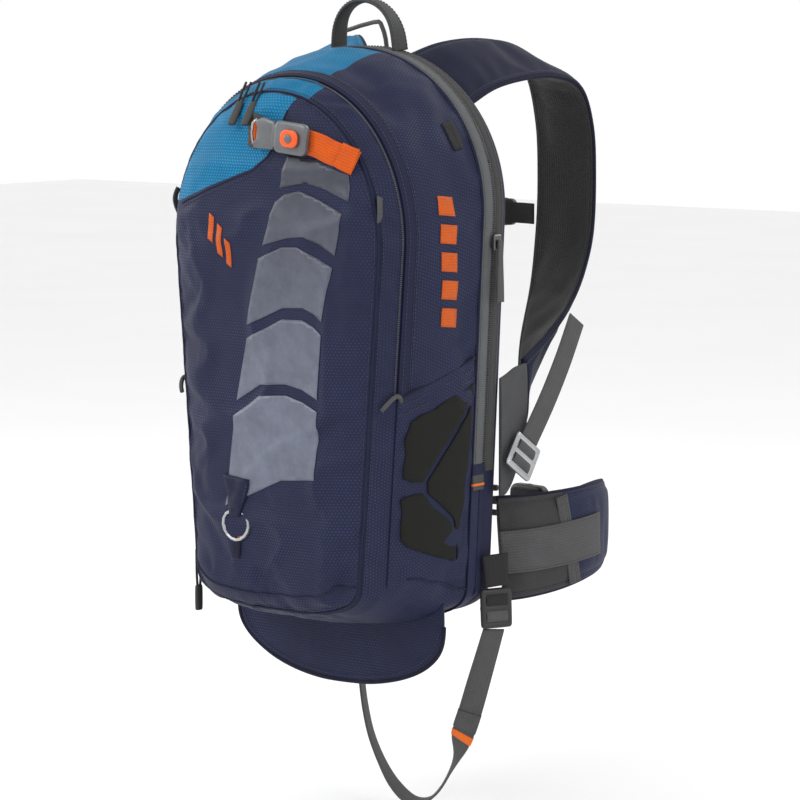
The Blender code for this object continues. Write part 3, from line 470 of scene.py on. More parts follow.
NAVY_COLOUR = (0.0120, 0.0155, 0.0480)
BLUE_COLOUR = (0.0004, 0.150, 0.310)
NAVY = pack_cloth("navy_pack_cloth", NAVY_COLOUR)
NAVY_SMOOTH = pack_cloth("navy_smooth_cloth", (0.0085, 0.0105, 0.0400), dots=0.2)
BLUE = pack_cloth("blue_pack_cloth", BLUE_COLOUR, dots=0.5)
MESH = spacer_mesh("black_spacer_mesh", (0.016, 0.016, 0.017))


def settle(piece, held, push, slack, cap, frames=14, soft=1.0):
    """Lets the cloth of a piece take up its slack under a light push from inside; held points stay."""
    scene = bpy.context.scene
    start = np.array([v.co for v in piece.data.vertices])
    pins = piece.vertex_groups.new(name="sewn")
    pins.add([int(i) for i in np.nonzero(held)[0]], 1.0, "REPLACE")
    cloth = piece.modifiers.new("settling", "CLOTH")
    cloth.settings.vertex_group_mass = "sewn"
    cloth.settings.quality = 6
    cloth.settings.mass = 0.2
    cloth.settings.tension_stiffness = 20 * soft
    cloth.settings.compression_stiffness = 12 * soft
    cloth.settings.shear_stiffness = 6 * soft
    cloth.settings.bending_stiffness = 0.15 * soft
    cloth.settings.air_damping = 4
    cloth.settings.shrink_min = -slack
    cloth.settings.use_pressure = True
    cloth.settings.uniform_pressure_force = push
    cloth.settings.effector_weights.gravity = 0
    cloth.collision_settings.use_collision = False
    cloth.collision_settings.use_self_collision = False
    for frame_number in range(1, frames + 1):
        scene.frame_set(frame_number)
    worn = piece.evaluated_get(bpy.context.evaluated_depsgraph_get())
    moved = np.array([v.co for v in worn.data.vertices]) - start
    piece.modifiers.remove(cloth)
    piece.vertex_groups.clear()
    scene.frame_set(1)
    reach = np.linalg.norm(moved, axis=1, keepdims=True)
    moved *= np.minimum(1, cap / np.maximum(reach, 1e-9))
    piece.data.vertices.foreach_set("co", (start + moved).ravel())
    piece.data.update()


def weld(piece):
    """Joins the points that meet where a panel is drawn in to its middle line."""
    shape = bmesh.new()
    shape.from_mesh(piece.data)
    bmesh.ops.remove_doubles(shape, verts=shape.verts, dist=0.00002)
    shape.to_mesh(piece.data)
    shape.free()
    piece.data.shade_smooth()
    return piece


def rumple(piece, held, depth, scale, seed=0.0):
    """Lasting soft folds worked into a piece's cloth, fading out towards its seams."""
    coords = np.array([v.co for v in piece.data.vertices])
    ways = np.array([v.normal for v in piece.data.vertices])
    seams = kdtree.KDTree(int(held.sum()))
    for k, p in enumerate(coords[held]):
        seams.insert(p, k)
    seams.balance()
    for k, p in enumerate(coords):
        free = min(1, seams.find(p)[2] / 0.016)
        spot = Vector(((p - PACK) * scale).tolist()) + Vector((seed, seed, 0))
        fold = 1 - 3.2 * abs(noise.noise(spot))
        broad = noise.noise(spot * 0.45 + Vector((7, 3, 1)))
        coords[k] = p + ways[k] * depth * free * (max(fold, 0) ** 1.5 + 0.9 * broad - 0.3)
    piece.data.vertices.foreach_set("co", coords.ravel())
    piece.data.update()


def refine(piece, levels=1):
    finer = piece.modifiers.new("finer", "SUBSURF")
    finer.levels = finer.render_levels = levels
    return piece


BACK_FACE_Y, BACK_TURNS = 0.042, 14
back_rings, back_cut = [], []
back_steps = [(0.0151, 0.006), (0.0151, 0.0), (0.022, -0.0006), (0.031, -0.0004), (0.0365, 0.0015),
              (0.040, 0.005), (BACK_FACE_Y, 0.010)]
for y, inset in back_steps:
    back_rings.append(ring(y, inset, share=0.0))
for k in range(1, BACK_TURNS + 1):
    factor = 1 - k / BACK_TURNS
    back_rings.append(drawn_in(back_rings[len(back_steps) - 1], factor,
                               BACK_FACE_Y + 0.0008 * math.sin(math.pi * min(k / 5, 1)), rise=0.45))
for k, points in enumerate(back_rings):
    row = []
    for i in range(OUTLINE_STEPS + 1):
        x, y, z = points[i % OUTLINE_STEPS]
        row.append((GIRTH * i / OUTLINE_STEPS, y) if k < len(back_steps) - 1 else (x, z))
    back_cut.append(row)
back_grid = np.array(back_rings)
back_panel = skin("back_panel_cover", back_grid[:, ::-1], [row[::-1] for row in back_cut],
                  [NAVY_SMOOTH, MESH],
                  pick=lambda i, j: 0 if i < 4 else 1, closed=True)
refine(weld(back_panel))
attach(back_panel, "root")
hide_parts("back_panel")


def moulded(name, colour, rough=0.42, grain=0.5, metallic=0.0, glint=0.4):
    """Moulded plastic or cast metal: a fine spark-eroded grain, with smoother rubbed patches."""
    f = Finish(name)
    place = f.node("ShaderNodeTexCoord").outputs["Object"]
    grit = f.speckle(place, 1800, 3.0)
    rub = f.speckle(place, 45, 4.0, 0.65)
    tone = f.spread(rub.outputs[0], 0.3, 0.7, 0.86, 1.14)
    scaled = f.node("ShaderNodeVectorMath", colour, None, operation="SCALE")
    f.plug(tone, scaled.inputs["Scale"])
    shine = f.spread(rub.outputs[0], 0.3, 0.7, rough - 0.08, rough + 0.1)
    return f.done(scaled, shine, grit, 0.0002, grain, Metallic=metallic, Specular_IOR_Level=glint)


BLACK_PLASTIC = moulded("black_acetal", (0.018, 0.018, 0.019))
GREY_PLASTIC = moulded("grey_nylon", (0.16, 0.16, 0.165), 0.45)
ORANGE_PLASTIC = moulded("orange_nylon", (0.80, 0.15, 0.02), 0.4)
BRIGHT = moulded("polished_alloy", (0.40, 0.41, 0.42), 0.24, 0.15, 1.0)
DARK_METAL = moulded("dark_zinc", (0.12, 0.12, 0.125), 0.34, 0.3, 1.0)
CYLINDER = moulded("satin_alloy", (0.50, 0.51, 0.53), 0.38, 0.3, 1.0)


def dress(node, finish):
    """A CAD node whose shape is right keeps it and gets its real finish."""
    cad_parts[node].data.materials.clear()
    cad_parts[node].data.materials.append(finish)


dress("frame_sheet", BLACK_PLASTIC)
dress("stay_left", BRIGHT)
dress("stay_right", BRIGHT)

# ---------------------------------------------------------------- Back pads and lumbar pad
# Foam pads under black spacer mesh, sewn down round their edges, with one sewn channel across.


def pad(name, centre, size, node, channels, finish, body="root", push=2.5):
    """A foam pad lying on a face at +Y: its rim is sewn down and its middle stands proud."""
    across, up = 27, 41
    grid, cut, held = [], [], []
    for i in range(up):
        v = -1 + 2 * i / (up - 1)
        row, flat = [], []
        for j in range(across):
            u = -1 + 2 * j / (across - 1)
            reach = 1 - 0.06 * (abs(u * v)) ** 2
            full = (1 - abs(u) ** 5) * (1 - abs(v) ** 7)
            dip = 1 - 0.45 * sum(math.exp(-((v - c) / 0.035) ** 2) for c in channels)
            row.append((centre[0] + size[0] / 2 * u * reach,
                        centre[1] - size[1] / 2 + size[1] * 0.86 * full ** 0.5 * dip,
                        centre[2] + size[2] / 2 * v * reach))
            flat.append((size[0] / 2 * u, size[2] / 2 * v))
            held.append(abs(u) > 0.95 or abs(v) > 0.96 or any(abs(v - c) < 0.03 for c in channels))
        grid.append(row)
        cut.append(flat)
    made = skin(name, np.array(grid)[:, ::-1], [r[::-1] for r in cut], [finish])
    settle(made, np.array(held).reshape(up, across)[:, ::-1].ravel(), push, 0.02, 0.0025, 10)
    refine(made)
    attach(made, body)
    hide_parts(node)
    return made


for label, side in (("right", 1), ("left", -1)):
    pad(f"back_pad_{label}_cover", (side * 0.058, 0.0483, 0.295), (0.062, 0.012, 0.25),
        f"back_pad_{label}", (-0.35, 0.35), MESH)
pad("lumbar_pad_cover", (0, 0.0513, 0.078), (0.16, 0.018, 0.115), "lumbar_pad", (0.0,), MESH)

# ---------------------------------------------------------------- Harness zip tape and side bellows
# Grey woven tape sewn round the panel's edge, with the rear half of the coil zip's teeth on it.
# Below the zip's ends, cloth bellows join the panel to the shell, so that it can hinge open.


def outward(i, share):
    """The outline's outward direction at one of its steps."""
    before = outline_at(TURNS[(i - 1) % OUTLINE_STEPS], share)
    after = outline_at(TURNS[(i + 1) % OUTLINE_STEPS], share)
    along = Vector((after[0] - before[0], 0, after[1] - before[1])).normalized()
    return np.array((along.z, 0, -along.x))


def over_top(low, share=0.5):
    """The outline's steps from one side's given height, over the top, to the other side's."""
    return [i for i in range(OUTLINE_STEPS) if outline_at(TURNS[i], share)[1] > low
            and 0.02 < TURNS[i] < 0.98]


def on_outline(i, y, lift):
    share = share_at(y)
    x, z = outline_at(TURNS[i], share)
    return np.array((x, y, z)) + outward(i, share) * lift


def edge_band(name, section, low, finish):
    """A sewn band that follows the pack's edge; its section is a list of (depth y, lift)."""
    steps = over_top(low)
    middle = sum(s[0] for s in section) / len(section)
    if section[0][0] < section[len(section) // 2][0]:
        section = section[::-1]
    grid = [[on_outline(i, y, lift) for y, lift in section] for i in steps]
    grid[0] = [np.array((p[0], p[1], low)) for p in grid[0]]
    grid[-1] = [np.array((p[0], p[1], low)) for p in grid[-1]]
    cut = [[(y - middle, GIRTH * i / OUTLINE_STEPS) for y, _ in section + section[:1]]
           for i in steps]
    return skin(name, grid, cut, [finish], closed=True, capped=True)


def many(name, places, shape_points, shape_faces, finish):
    """Many small equal parts in one mesh: places holds (position, first axis, second axis)."""
    points, faces = [], []
    for place, first, second in places:
        first = np.array(first, float) / np.linalg.norm(first)
        second = np.array(second, float) - first * np.dot(first, second)
        second /= np.linalg.norm(second)
        third = np.cross(first, second)
        base = len(points)
        for a, b, c in shape_points:
            points.append(tuple(np.array(place) + PACK + first * a + second * b + third * c))
        faces += [tuple(base + k for k in face) for face in shape_faces]
    mesh = bpy.data.meshes.new(name)
    mesh.from_pydata(points, [], faces)
    mesh.uv_layers.new(name="cut")
    mesh.materials.append(finish)
    mesh.shade_smooth()
    mesh.set_sharp_from_angle(angle=math.radians(50))
    made = bpy.data.objects.new(name, mesh)
    bpy.context.scene.collection.objects.link(made)
    return made


def bead(length, width, height):
    """A small part with tapered ends, its length on the first axis."""
    ring_points = [(0, 1), (0.8, 0.45), (0.8, -0.45), (0, -0.6), (-0.8, -0.45), (-0.8, 0.45)]
    points, faces = [], []
    for a, scale in ((-0.5, 0.35), (-0.32, 1), (0.32, 1), (0.5, 0.35)):
        points += [(length * a, width / 2 * b * scale, height / 2 * c * scale)
                   for b, c in ring_points]
    for level in range(3):
        for k in range(6):
            m = (k + 1) % 6
            faces.append((level * 6 + k, level * 6 + m, level * 6 + 6 + m, level * 6 + 6 + k))
    faces += [tuple(range(5, -1, -1)), tuple(range(18, 24))]
    return points, faces


def even_places(route, pitch, closed=False):
    """Places at equal spacing along a route, each with the direction there."""
    route = [np.array(p, float) for p in route]
    if closed:
        route.append(route[0])
    steps = [np.linalg.norm(b - a) for a, b in zip(route, route[1:])]
    found, wait = [], pitch / 2
    for a, b, step in zip(route, route[1:], steps):
        while wait < step:
            found.append((a + (b - a) * wait / step, (b - a) / step))
            wait += pitch
        wait -= step
    return found


def stitches(name, route, out, finish, body, pitch=0.0036, closed=False, size=0.0008):
    """A row of lockstitch along a route; out is the cloth's outward direction there."""
    rows = []
    for place, along in even_places(route, pitch, closed):
        facing = out(place) if callable(out) else np.array(out, float)
        rows.append((place, along, facing))
    made = many(name, rows, *bead(pitch * 0.72, size, size * 1.1), finish)
    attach(made, body)
    return made


def from_middle(place):
    """Outward from the pack's upright middle, for sewing on its wrapped sides and top."""
    z = min(max(place[2], 0.16), 0.33)
    return np.array((place[0], 0, place[2] - z))


def thread(name, colour):
    f = Finish(name)
    fuzz = f.speckle(f.node("ShaderNodeTexCoord").outputs["Object"], 2400, 2.0)
    tone = f.node("ShaderNodeVectorMath", colour, None, operation="SCALE")
    f.plug(f.spread(fuzz.outputs[0], 0.3, 0.7, 0.7, 1.3), tone.inputs["Scale"])
    return f.done(tone, 0.7, fuzz, 0.0002, 0.5, Sheen_Weight=0.2)


NAVY_THREAD = thread("navy_thread", (0.012, 0.015, 0.048))
GREY_THREAD = thread("grey_thread", (0.055, 0.055, 0.057))
TAPE_GREY = webbing_weave("grey_zip_tape", (0.100, 0.104, 0.108), 0.0011)
DARK_TAPE = webbing_weave("dark_zip_tape", (0.050, 0.050, 0.052), 0.0011)
COIL = moulded("coil_nylon", (0.085, 0.087, 0.090), 0.35)

rear_tape = edge_band("harness_tape_woven", [(0.0170, 0.0003), (0.0172, 0.0014), (0.0232, 0.0016),
                                             (0.0292, 0.0014), (0.0300, 0.0003)],
                      ZIP_END, DARK_TAPE)
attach(rear_tape, "root")
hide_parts("harness_zip_tape")
coil_steps = over_top(ZIP_END)
for name, y, body in (("rear_zip_coil", ZIP_PLANE + 0.0013, "root"),
                      ("front_zip_coil", ZIP_PLANE - 0.0013, "pack_shell")):
    route = [on_outline(i, 0.0, 0.0009) for i in coil_steps]
    rows = [((p[0], y, p[2]), (0, 1, 0), from_middle(p))
            for p, along in even_places(route, 0.0017)]
    coil = many(name, rows, *bead(0.0030, 0.0019, 0.0012), COIL)
    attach(coil, body)
stitches("harness_tape_stitch", [on_outline(i, 0.0, 0.0018) * (1, 0, 1) + (0, 0.0270, 0)
                                 for i in coil_steps], from_middle, GREY_THREAD, "root")

BELLOWS_TOP, BELLOWS_ROWS = 0.146, 40
LOWEST_STEP = 24


def side_step(z):
    """The outline's step nearest a height, on its upright side."""
    if z < 0.002:
        return LOWEST_STEP
    return min(range(OUTLINE_STEPS // 2), key=lambda n: abs(
        outline_at(TURNS[n], 0)[1] - z) + (0 if outline_at(TURNS[n], 0)[0] > 0.09 else 9))


for label, side in (("right", 1), ("left", -1)):
    grid, cut = [], []
    for k in range(BELLOWS_ROWS + 1):
        z = BELLOWS_TOP * k / BELLOWS_ROWS
        x, z_at = outline_at(TURNS[side_step(z)], 0)
        z_use = z if z > 0.012 else z_at
        grid.append([(side * (x + lift), y, z_use) for y, lift in
                     ((0.0178, 0.0004), (0.0166, 0.0009), (0.0158, 0.0009), (0.0138, 0.0009),
                      (0.0130, 0.0009), (0.0118, 0.0004))])
        cut.append([(y, z) for y in (0.018, 0.017, 0.016, 0.0138, 0.013, 0.012)])
    if side < 0:
        grid, cut = [g[::-1] for g in grid], [c[::-1] for c in cut]
    bellows = skin(f"side_bellows_{label}", grid, cut, [NAVY_SMOOTH])
    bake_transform(bellows)

# ---------------------------------------------------------------- Stabiliser wings
# Grey pack fabric from the panel's side edge out to the strap's lower end, with a sewn border.
WING_GREY = pack_cloth("grey_wing_cloth", (0.066, 0.067, 0.070), dots=0.25, dull=0.7)
WING_LINES = [(0.0335, 0.118, 0.226), (0.045, 0.119, 0.229), (0.060, 0.135, 0.234),
              (0.0775, 0.174, 0.236)]
for label, side in (("right", 1), ("left", -1)):
    wing_rows = smooth_rows([(*line, 0.0) for line in WING_LINES], 6)[:, :3]
    grid, cut, border = [], [], []
    for y, low, high in wing_rows:
        x = side_half((low + high) / 2, 0.0) + 0.0050 - 0.10 * (y - 0.0335)
        heights = np.linspace(low, high, 15)
        puff = [0.0016 * math.sin(math.pi * k / 14) ** 0.5 for k in range(15)]
        outer = [(side * (x + 0.0006 + p), y, z) for z, p in zip(heights, puff)]
        inner = [(side * (x - 0.0012), y, z) for z in heights[::-1]]
        grid.append(outer + inner)
        cut.append([(y, z) for z in list(heights) + list(heights[::-1]) + [low]])
        border.append((side * (x + 0.0019), y, low + 0.0045))
    if side > 0:
        grid = [g[::-1] for g in grid]
    wing = skin(f"stabiliser_wing_{label}_cloth", grid, cut, [WING_GREY], closed=True, capped=True)
    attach(wing, "root")
    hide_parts(f"stabiliser_wing_{label}")
    stitches(f"wing_stitch_{label}", border, (side, 0, 0), GREY_THREAD, "root")

# ---------------------------------------------------------------- Shoulder straps
# Curved foam straps, cloth outside and spacer mesh inside, closed by a bound and stitched edge.


def line_on(rows, thickness, a, b, per_step=6, square=True):
    """The line at one place of a strip's section, all along it."""
    rows = smooth_rows(rows, per_step)
    line = []
    for i, row in enumerate(rows):
        along = rows[min(i + 1, len(rows) - 1)][:3] - rows[max(i - 1, 0)][:3]
        along /= np.linalg.norm(along)
        across = row[3:6].copy()
        if square:
            across -= along * across.dot(along)
        across /= np.linalg.norm(across)
        up = np.cross(across, along)
        up /= np.linalg.norm(up)
        line.append((row[:3] + across * row[6] / 2 * a + up * thickness * b, up))
    return line


def cordage(name, route, radius, finish, closed=False, sides=8):
    """A round cord, wire or piping along a route."""
    route = [np.array(p, float) for p in route]
    count = len(route)
    grid, cut, run = [], [], 0.0
    across = None
    for i, place in enumerate(route):
        if closed:
            along = route[(i + 1) % count] - route[i - 1]
        else:
            along = route[min(i + 1, count - 1)] - route[max(i - 1, 0)]
        along /= np.linalg.norm(along)
        if across is None:
            across = np.cross(along, (0.31, 0.95, 0.11))
        across = across - along * across.dot(along)
        across /= np.linalg.norm(across)
        up = np.cross(along, across)
        grid.append([place + radius * (across * math.cos(2 * math.pi * k / sides)
                                       + up * math.sin(2 * math.pi * k / sides))
                     for k in range(sides)])
        run += np.linalg.norm(place - route[i - 1]) if i else 0
        cut.append([(2 * math.pi * radius * k / sides, run) for k in range(sides + 1)])
    if closed:
        grid.append(grid[0])
        cut.append(cut[0])
    return skin(name, grid, cut, [finish], closed=True, capped=not closed)


def soft_profile(edge=0.30, seam=0.86):
    """A padded section: crowned both ways, drawn in along a stitched line near each edge."""
    places = [-1, -0.95, -0.90, seam * -1, -0.78, -0.62, -0.35, 0, 0.35, 0.62, 0.78, seam, 0.90,
              0.95, 1]
    rise = [edge * 0.5, edge, edge, edge * 0.86, 0.40, 0.47, 0.5, 0.5, 0.5, 0.47, 0.40,
            edge * 0.86, edge, edge, edge * 0.5]
    low = [(a, -b) for a, b in zip(places, rise)]
    high = [(a, b) for a, b in zip(places, rise)]
    return low + high[::-1]


def nearest_way(path, ways):
    """The outward direction at the nearest point of a path, for a row of stitches along it."""
    return lambda p: ways[int(np.argmin(np.linalg.norm(path - p, axis=1)))]


SHOULDER_PROFILE = soft_profile()
SHOULDER_THICK, SHOULDER_STEPS = 0.0112, 7
BINDING = webbing_weave("navy_binding", (0.0065, 0.0075, 0.0240), 0.0012)
RIGHT_STRAP = [
    (0.058, 0.0490, 0.494, 0.88, 0.0, -0.47, 0.088), (0.066, 0.085, 0.508, 0.86, 0.0, -0.50, 0.078),
    (0.074, 0.130, 0.514, 0.86, 0.0, -0.50, 0.070), (0.080, 0.170, 0.511, 0.91, 0.0, -0.42, 0.066),
    (0.083, 0.202, 0.492, 0.98, 0.0, -0.20, 0.065), (0.083, 0.220, 0.450, 1.00, 0.0, -0.05, 0.065),
    (0.083, 0.224, 0.400, 1.00, 0.0, 0.0, 0.065), (0.084, 0.220, 0.350, 1.00, 0.0, 0.05, 0.065),
    (0.087, 0.205, 0.305, 0.95, 0.0, 0.30, 0.065), (0.098, 0.170, 0.264, 0.80, 0.1, 0.60, 0.066),
    (0.118, 0.122, 0.228, 0.40, 0.1, 0.90, 0.066), (0.1345, 0.0815, 0.205, 0.0, 0.0, 1.00, 0.066)]
LEFT_STRAP = [
    (-0.060, 0.0520, 0.494, 0.88, 0.0, 0.47, 0.088), (-0.090, 0.078, 0.511, 0.86, 0.15, 0.48, 0.080),
    (-0.123, 0.112, 0.518, 0.84, 0.30, 0.42, 0.072), (-0.145, 0.148, 0.508, 0.88, 0.32, 0.28, 0.067),
    (-0.151, 0.180, 0.480, 0.92, 0.28, 0.05, 0.065), (-0.147, 0.200, 0.440, 0.95, 0.20, 0.0, 0.065),
    (-0.138, 0.208, 0.400, 0.97, 0.12, 0.0, 0.065), (-0.127, 0.208, 0.350, 1.00, 0.0, -0.05, 0.065),
    (-0.116, 0.197, 0.305, 0.95, 0.0, -0.30, 0.065), (-0.112, 0.167, 0.264, 0.80, -0.1, -0.60, 0.066),
    (-0.121, 0.122, 0.228, 0.40, -0.1, -0.90, 0.066),
    (-0.1365, 0.0815, 0.205, 0.0, 0.0, -1.00, 0.066)]
STRAP_NAVY = pack_cloth("navy_strap_cloth", (0.0065, 0.0085, 0.0290), dots=0.5, dull=0.7)
for label, rows, outer in (("right", RIGHT_STRAP, STRAP_NAVY), ("left", LEFT_STRAP, BLUE)):
    inner = MESH if label == "right" else STRAP_NAVY
    half = len(SHOULDER_PROFILE) // 2
    strap = strip(f"shoulder_strap_{label}_cover", rows, SHOULDER_THICK, [outer, inner],
                  SHOULDER_STEPS, SHOULDER_PROFILE, pick=lambda i, j: 1 if j < half else 0,
                  square=False, wave=0.0009)
    sewn = np.array([abs(a) > 0.84 for a, b in SHOULDER_PROFILE] *
                    ((len(rows) - 1) * SHOULDER_STEPS + 1))
    sewn[:len(SHOULDER_PROFILE) * 2] = True
    sewn[-len(SHOULDER_PROFILE) * 2:] = True
    settle(strap, sewn, 2.0, 0.02, 0.0022, 10)
    refine(strap)
    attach(strap, "root")
    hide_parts(f"shoulder_strap_{label}")
    for edge in (-1, 1):
        name = "outer" if edge > 0 else "inner"
        route = [p for p, up in line_on(rows, SHOULDER_THICK, edge * 0.985, 0, SHOULDER_STEPS, False)]
        piping = cordage(f"strap_{label}_binding_{name}", route, 0.0021, BINDING)
        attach(piping, "root")
        line = line_on(rows, SHOULDER_THICK, edge * 0.865, 0.29, SHOULDER_STEPS, False)
        ups = np.array([up for p, up in line])
        path = np.array([p for p, up in line])
        stitches(f"strap_{label}_stitch_{name}", path, nearest_way(path, ups),
                 NAVY_THREAD if label == "right" else BLUE, "root")

# ---------------------------------------------------------------- Adjuster webbings and ladder locks
# 20 mm webbing runs from a sewn keeper on each strap down to a cast three-bar lock on the wing.
LOCK_PLACE = np.array((0.1550, 0.054, 0.153))
LOCK_SIZE = (0.0335, 0.0360, 0.0064)
KEEPERS = {"right": np.array((0.1390, 0.162, 0.270)), "left": np.array((-0.1520, 0.160, 0.270))}


def slide_lock(name, place, across, along, width, length, thickness, finish):
    """A cast three-bar slide: round bars joined by side rails, the middle bar set back."""
    across = np.array(across, float) / np.linalg.norm(across)
    along = np.array(along, float) - across * np.dot(across, along)
    along /= np.linalg.norm(along)
    up = np.cross(across, along)
    shape = bmesh.new()
    radius = thickness * 0.5
    rail = radius * 0.95
    w, h = width / 2 - radius, length / 2 - radius
    for u0, v0, u1, v1, r, back in ((-w, -h, w, -h, radius, 0), (-w, h, w, h, radius, 0),
                                    (-w, -h, -w, h, rail, 0), (w, -h, w, h, rail, 0),
                                    (-w, 0, w, 0, radius * 1.15, 0.15)):
        ends = [place + across * u + along * v - up * (back * radius) for u, v in ((u0, v0), (u1, v1))]
        axis = (ends[1] - ends[0]) / np.linalg.norm(ends[1] - ends[0])
        side = np.cross(axis, up)
        levels = []
        for t, scale in ((-0.85, 0.5), (-0.45, 0.9), (0, 1), (1, 1), (1.45, 0.9), (1.85, 0.5)):
            if t <= 0:
                centre = ends[0] + axis * (r * t)
            else:
                centre = ends[1] + axis * (r * (t - 1))
            levels.append([shape.verts.new(centre + PACK + scale * r * (
                side * 1.15 * math.cos(2 * math.pi * k / 10) + up * math.sin(2 * math.pi * k / 10)))
                for k in range(10)])
        for low, high in zip(levels, levels[1:]):
            for k in range(10):
                m = (k + 1) % 10
                shape.faces.new((low[k], low[m], high[m], high[k]))
        shape.faces.new(levels[0][::-1])
        shape.faces.new(levels[-1])
    bmesh.ops.recalc_face_normals(shape, faces=shape.faces)
    mesh = bpy.data.meshes.new(name)
    shape.to_mesh(mesh)
    shape.free()
    mesh.uv_layers.new(name="cut")
    mesh.materials.append(finish)
    mesh.shade_smooth()
    made = bpy.data.objects.new(name, mesh)
    bpy.context.scene.collection.objects.link(made)
    refine(made)
    return made


def threaded_over(name, place, axes, reach, step, crown, width, thickness, finishes):
    """Webbing threaded through a slide: a short arch up and back through each of its openings."""
    across, along, facing = axes
    made = []
    for k, (near, far) in enumerate(((-reach, -0.0010), (0.0010, reach))):
        arch = ((near, -0.0028), (near + step, step), ((near + far) / 2, crown), (far - step, step),
                (far, -0.0028))
        rows = [(*(place + along * v + facing * rise), *across, width) for v, rise in arch]
        made.append(strip(f"{name}_{k}", rows, thickness, [finishes[k]], 4))
    return made


for label, side, body in (("right", 1, "lock_r"), ("left", -1, "lock_l")):
    place = LOCK_PLACE * (side, 1, 1)
    keeper = KEEPERS[label]
    along = (keeper - place) / np.linalg.norm(keeper - place)
    across = np.cross(along, (side, -0.35, 0))
    lock = slide_lock(f"ladder_lock_{label}_cast", place, across, along, *LOCK_SIZE, BRIGHT)
    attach(lock, body)
    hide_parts(f"ladder_lock_{label}")
    facing = np.cross(across, along) * side
    facing /= np.linalg.norm(facing)
    across_unit = across / np.linalg.norm(across)
    for threaded in threaded_over(f"ladder_lock_{label}_threaded", place, (across_unit, along, facing),
                                  0.0135, 0.0010, 0.0030, 0.0205, 0.0014, [GREY_WEBBING] * 2):
        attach(threaded, body)
    start = place + along * 0.0180
    rows = [(*(start + (keeper - start) * t + np.array((side * 0.003 * math.sin(math.pi * t), 0, 0))),
             *across, 0.020) for t in (0, 0.33, 0.66, 1)]
    webbing = strip(f"adjuster_webbing_{label}_woven", rows, 0.0016, [GREY_WEBBING], 10)
    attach(webbing, "root")
    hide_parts(f"adjuster_webbing_{label}")

# ---------------------------------------------------------------- Haul loop
# A carrying loop of webbing cased in dark rubbery fabric, its flat ends sewn to the panel's top.
RUBBER_CASE = moulded("rubber_casing", (0.032, 0.033, 0.033), 0.6, 0.8)
HAUL_THICK, HAUL_BASE, HAUL_RISE = 0.0046, 0.0445, 0.0465
haul_rows = []
for i in range(17):
    turn = math.pi * i / 16
    rise = HAUL_RISE * max(math.sin(turn), 0) ** 0.75
    flare = 0.0165 + 0.006 * abs(math.cos(turn)) ** 6
    reach = 0.0355 * (1 if 0 < i < 16 else 1.02)
    haul_rows.append((reach * math.cos(turn), 0.0235 - 0.006 * math.sin(turn),
                      -PACK[2] - HAUL_BASE + rise, 0, 1, 0, flare))
HAUL_PROFILE = [(-1, -0.22), (-0.8, -0.42), (-0.4, -0.5), (0.4, -0.5), (0.8, -0.42), (1, -0.22),
                (1, 0.22), (0.8, 0.42), (0.4, 0.5), (-0.4, 0.5), (-0.8, 0.42), (-1, 0.22)]
haul = strip("haul_loop_cased", haul_rows, HAUL_THICK, [RUBBER_CASE], 5, HAUL_PROFILE)
refine(haul)
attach(haul, "root")
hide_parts("haul_loop")
for edge in (-0.78, 0.78):
    line = line_on(haul_rows, HAUL_THICK, edge, 0.46, 5)
    path, ups = np.array([p for p, up in line]), np.array([up for p, up in line])
    stitches(f"haul_stitch_{'front' if edge < 0 else 'back'}", path, nearest_way(path, ups),
             GREY_THREAD, "root")

# ---------------------------------------------------------------- Sternum strap
# Black 20 mm webbing between the shoulder straps, with a moulded side-release buckle on it.
BLACK_WEBBING = webbing_weave("black_webbing", (0.020, 0.020, 0.021))
STERNUM_Z, STERNUM_Y, STERNUM_WIDTH = 0.363, 0.2215, 0.020
sternum_rows = [(x, STERNUM_Y + y, STERNUM_Z, 0, 0, 1, STERNUM_WIDTH) for x, y in
                ((0.0475, -0.002), (0.022, 0.004), (-0.035, 0.003), (-0.0930, -0.008))]
sternum_strap = strip("sternum_strap_woven", sternum_rows, 0.0016, [BLACK_WEBBING], 8)
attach(sternum_strap, "sternum")
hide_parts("sternum_strap")


def shell_block(name, outline, depth, finish, place, turn=0.0):
    """A moulded block: a flat outline (x, z) with a crowned front and back, depth along Y."""
    spin = Matrix.Rotation(turn, 3, "Z")
    levels = [(-0.5, 0.80), (-0.44, 0.93), (-0.30, 1.0), (0.30, 1.0), (0.44, 0.93), (0.5, 0.80)]
    grid, cut = [], []
    for level, scale in levels:
        row = []
        for x, z in outline:
            p = spin @ Vector((x * scale, depth * level, z * scale))
            row.append(np.array(place) + np.array(p))
        grid.append(row)
        cut.append([(x, z) for x, z in outline + outline[:1]])
    made = skin(name, grid, cut, [finish], closed=True, capped=True)
    made.data.set_sharp_from_angle(angle=math.radians(60))
    return round_off(made, 0.0006, 2)


def rounded(width, height, corner, steps=5):
    """A rounded rectangle as a flat outline."""
    points = []
    for cx, cz, first in ((1, 1, 0), (-1, 1, 90), (-1, -1, 180), (1, -1, 270)):
        for k in range(steps + 1):
            a = math.radians(first + 90 * k / steps)
            points.append((cx * (width / 2 - corner) + corner * math.cos(a),
                           cz * (height / 2 - corner) + corner * math.sin(a)))
    return points


def buckle(name, parts, body, node, finish):
    """Moulded plates placed together as one buckle."""
    made = [shell_block(f"{name}_{k}", rounded(w, h, c), d, finish, place, turn)
            for k, (w, h, c, d, place, turn) in enumerate(parts)]
    for piece in made:
        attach(piece, body)
    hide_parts(node)
    return made


mid = (-0.006, STERNUM_Y + 0.0105, STERNUM_Z)
buckle("sternum_buckle_shell", [
    (0.046, 0.026, 0.006, 0.0088, mid, 0),
    (0.011, 0.0272, 0.004, 0.0050, (mid[0] + 0.010, mid[1], mid[2]), 0),
    (0.026, 0.013, 0.003, 0.0016, (mid[0] - 0.004, mid[1] + 0.0046, mid[2]), 0)],
    "sternum", "sternum_buckle", BLACK_PLASTIC)

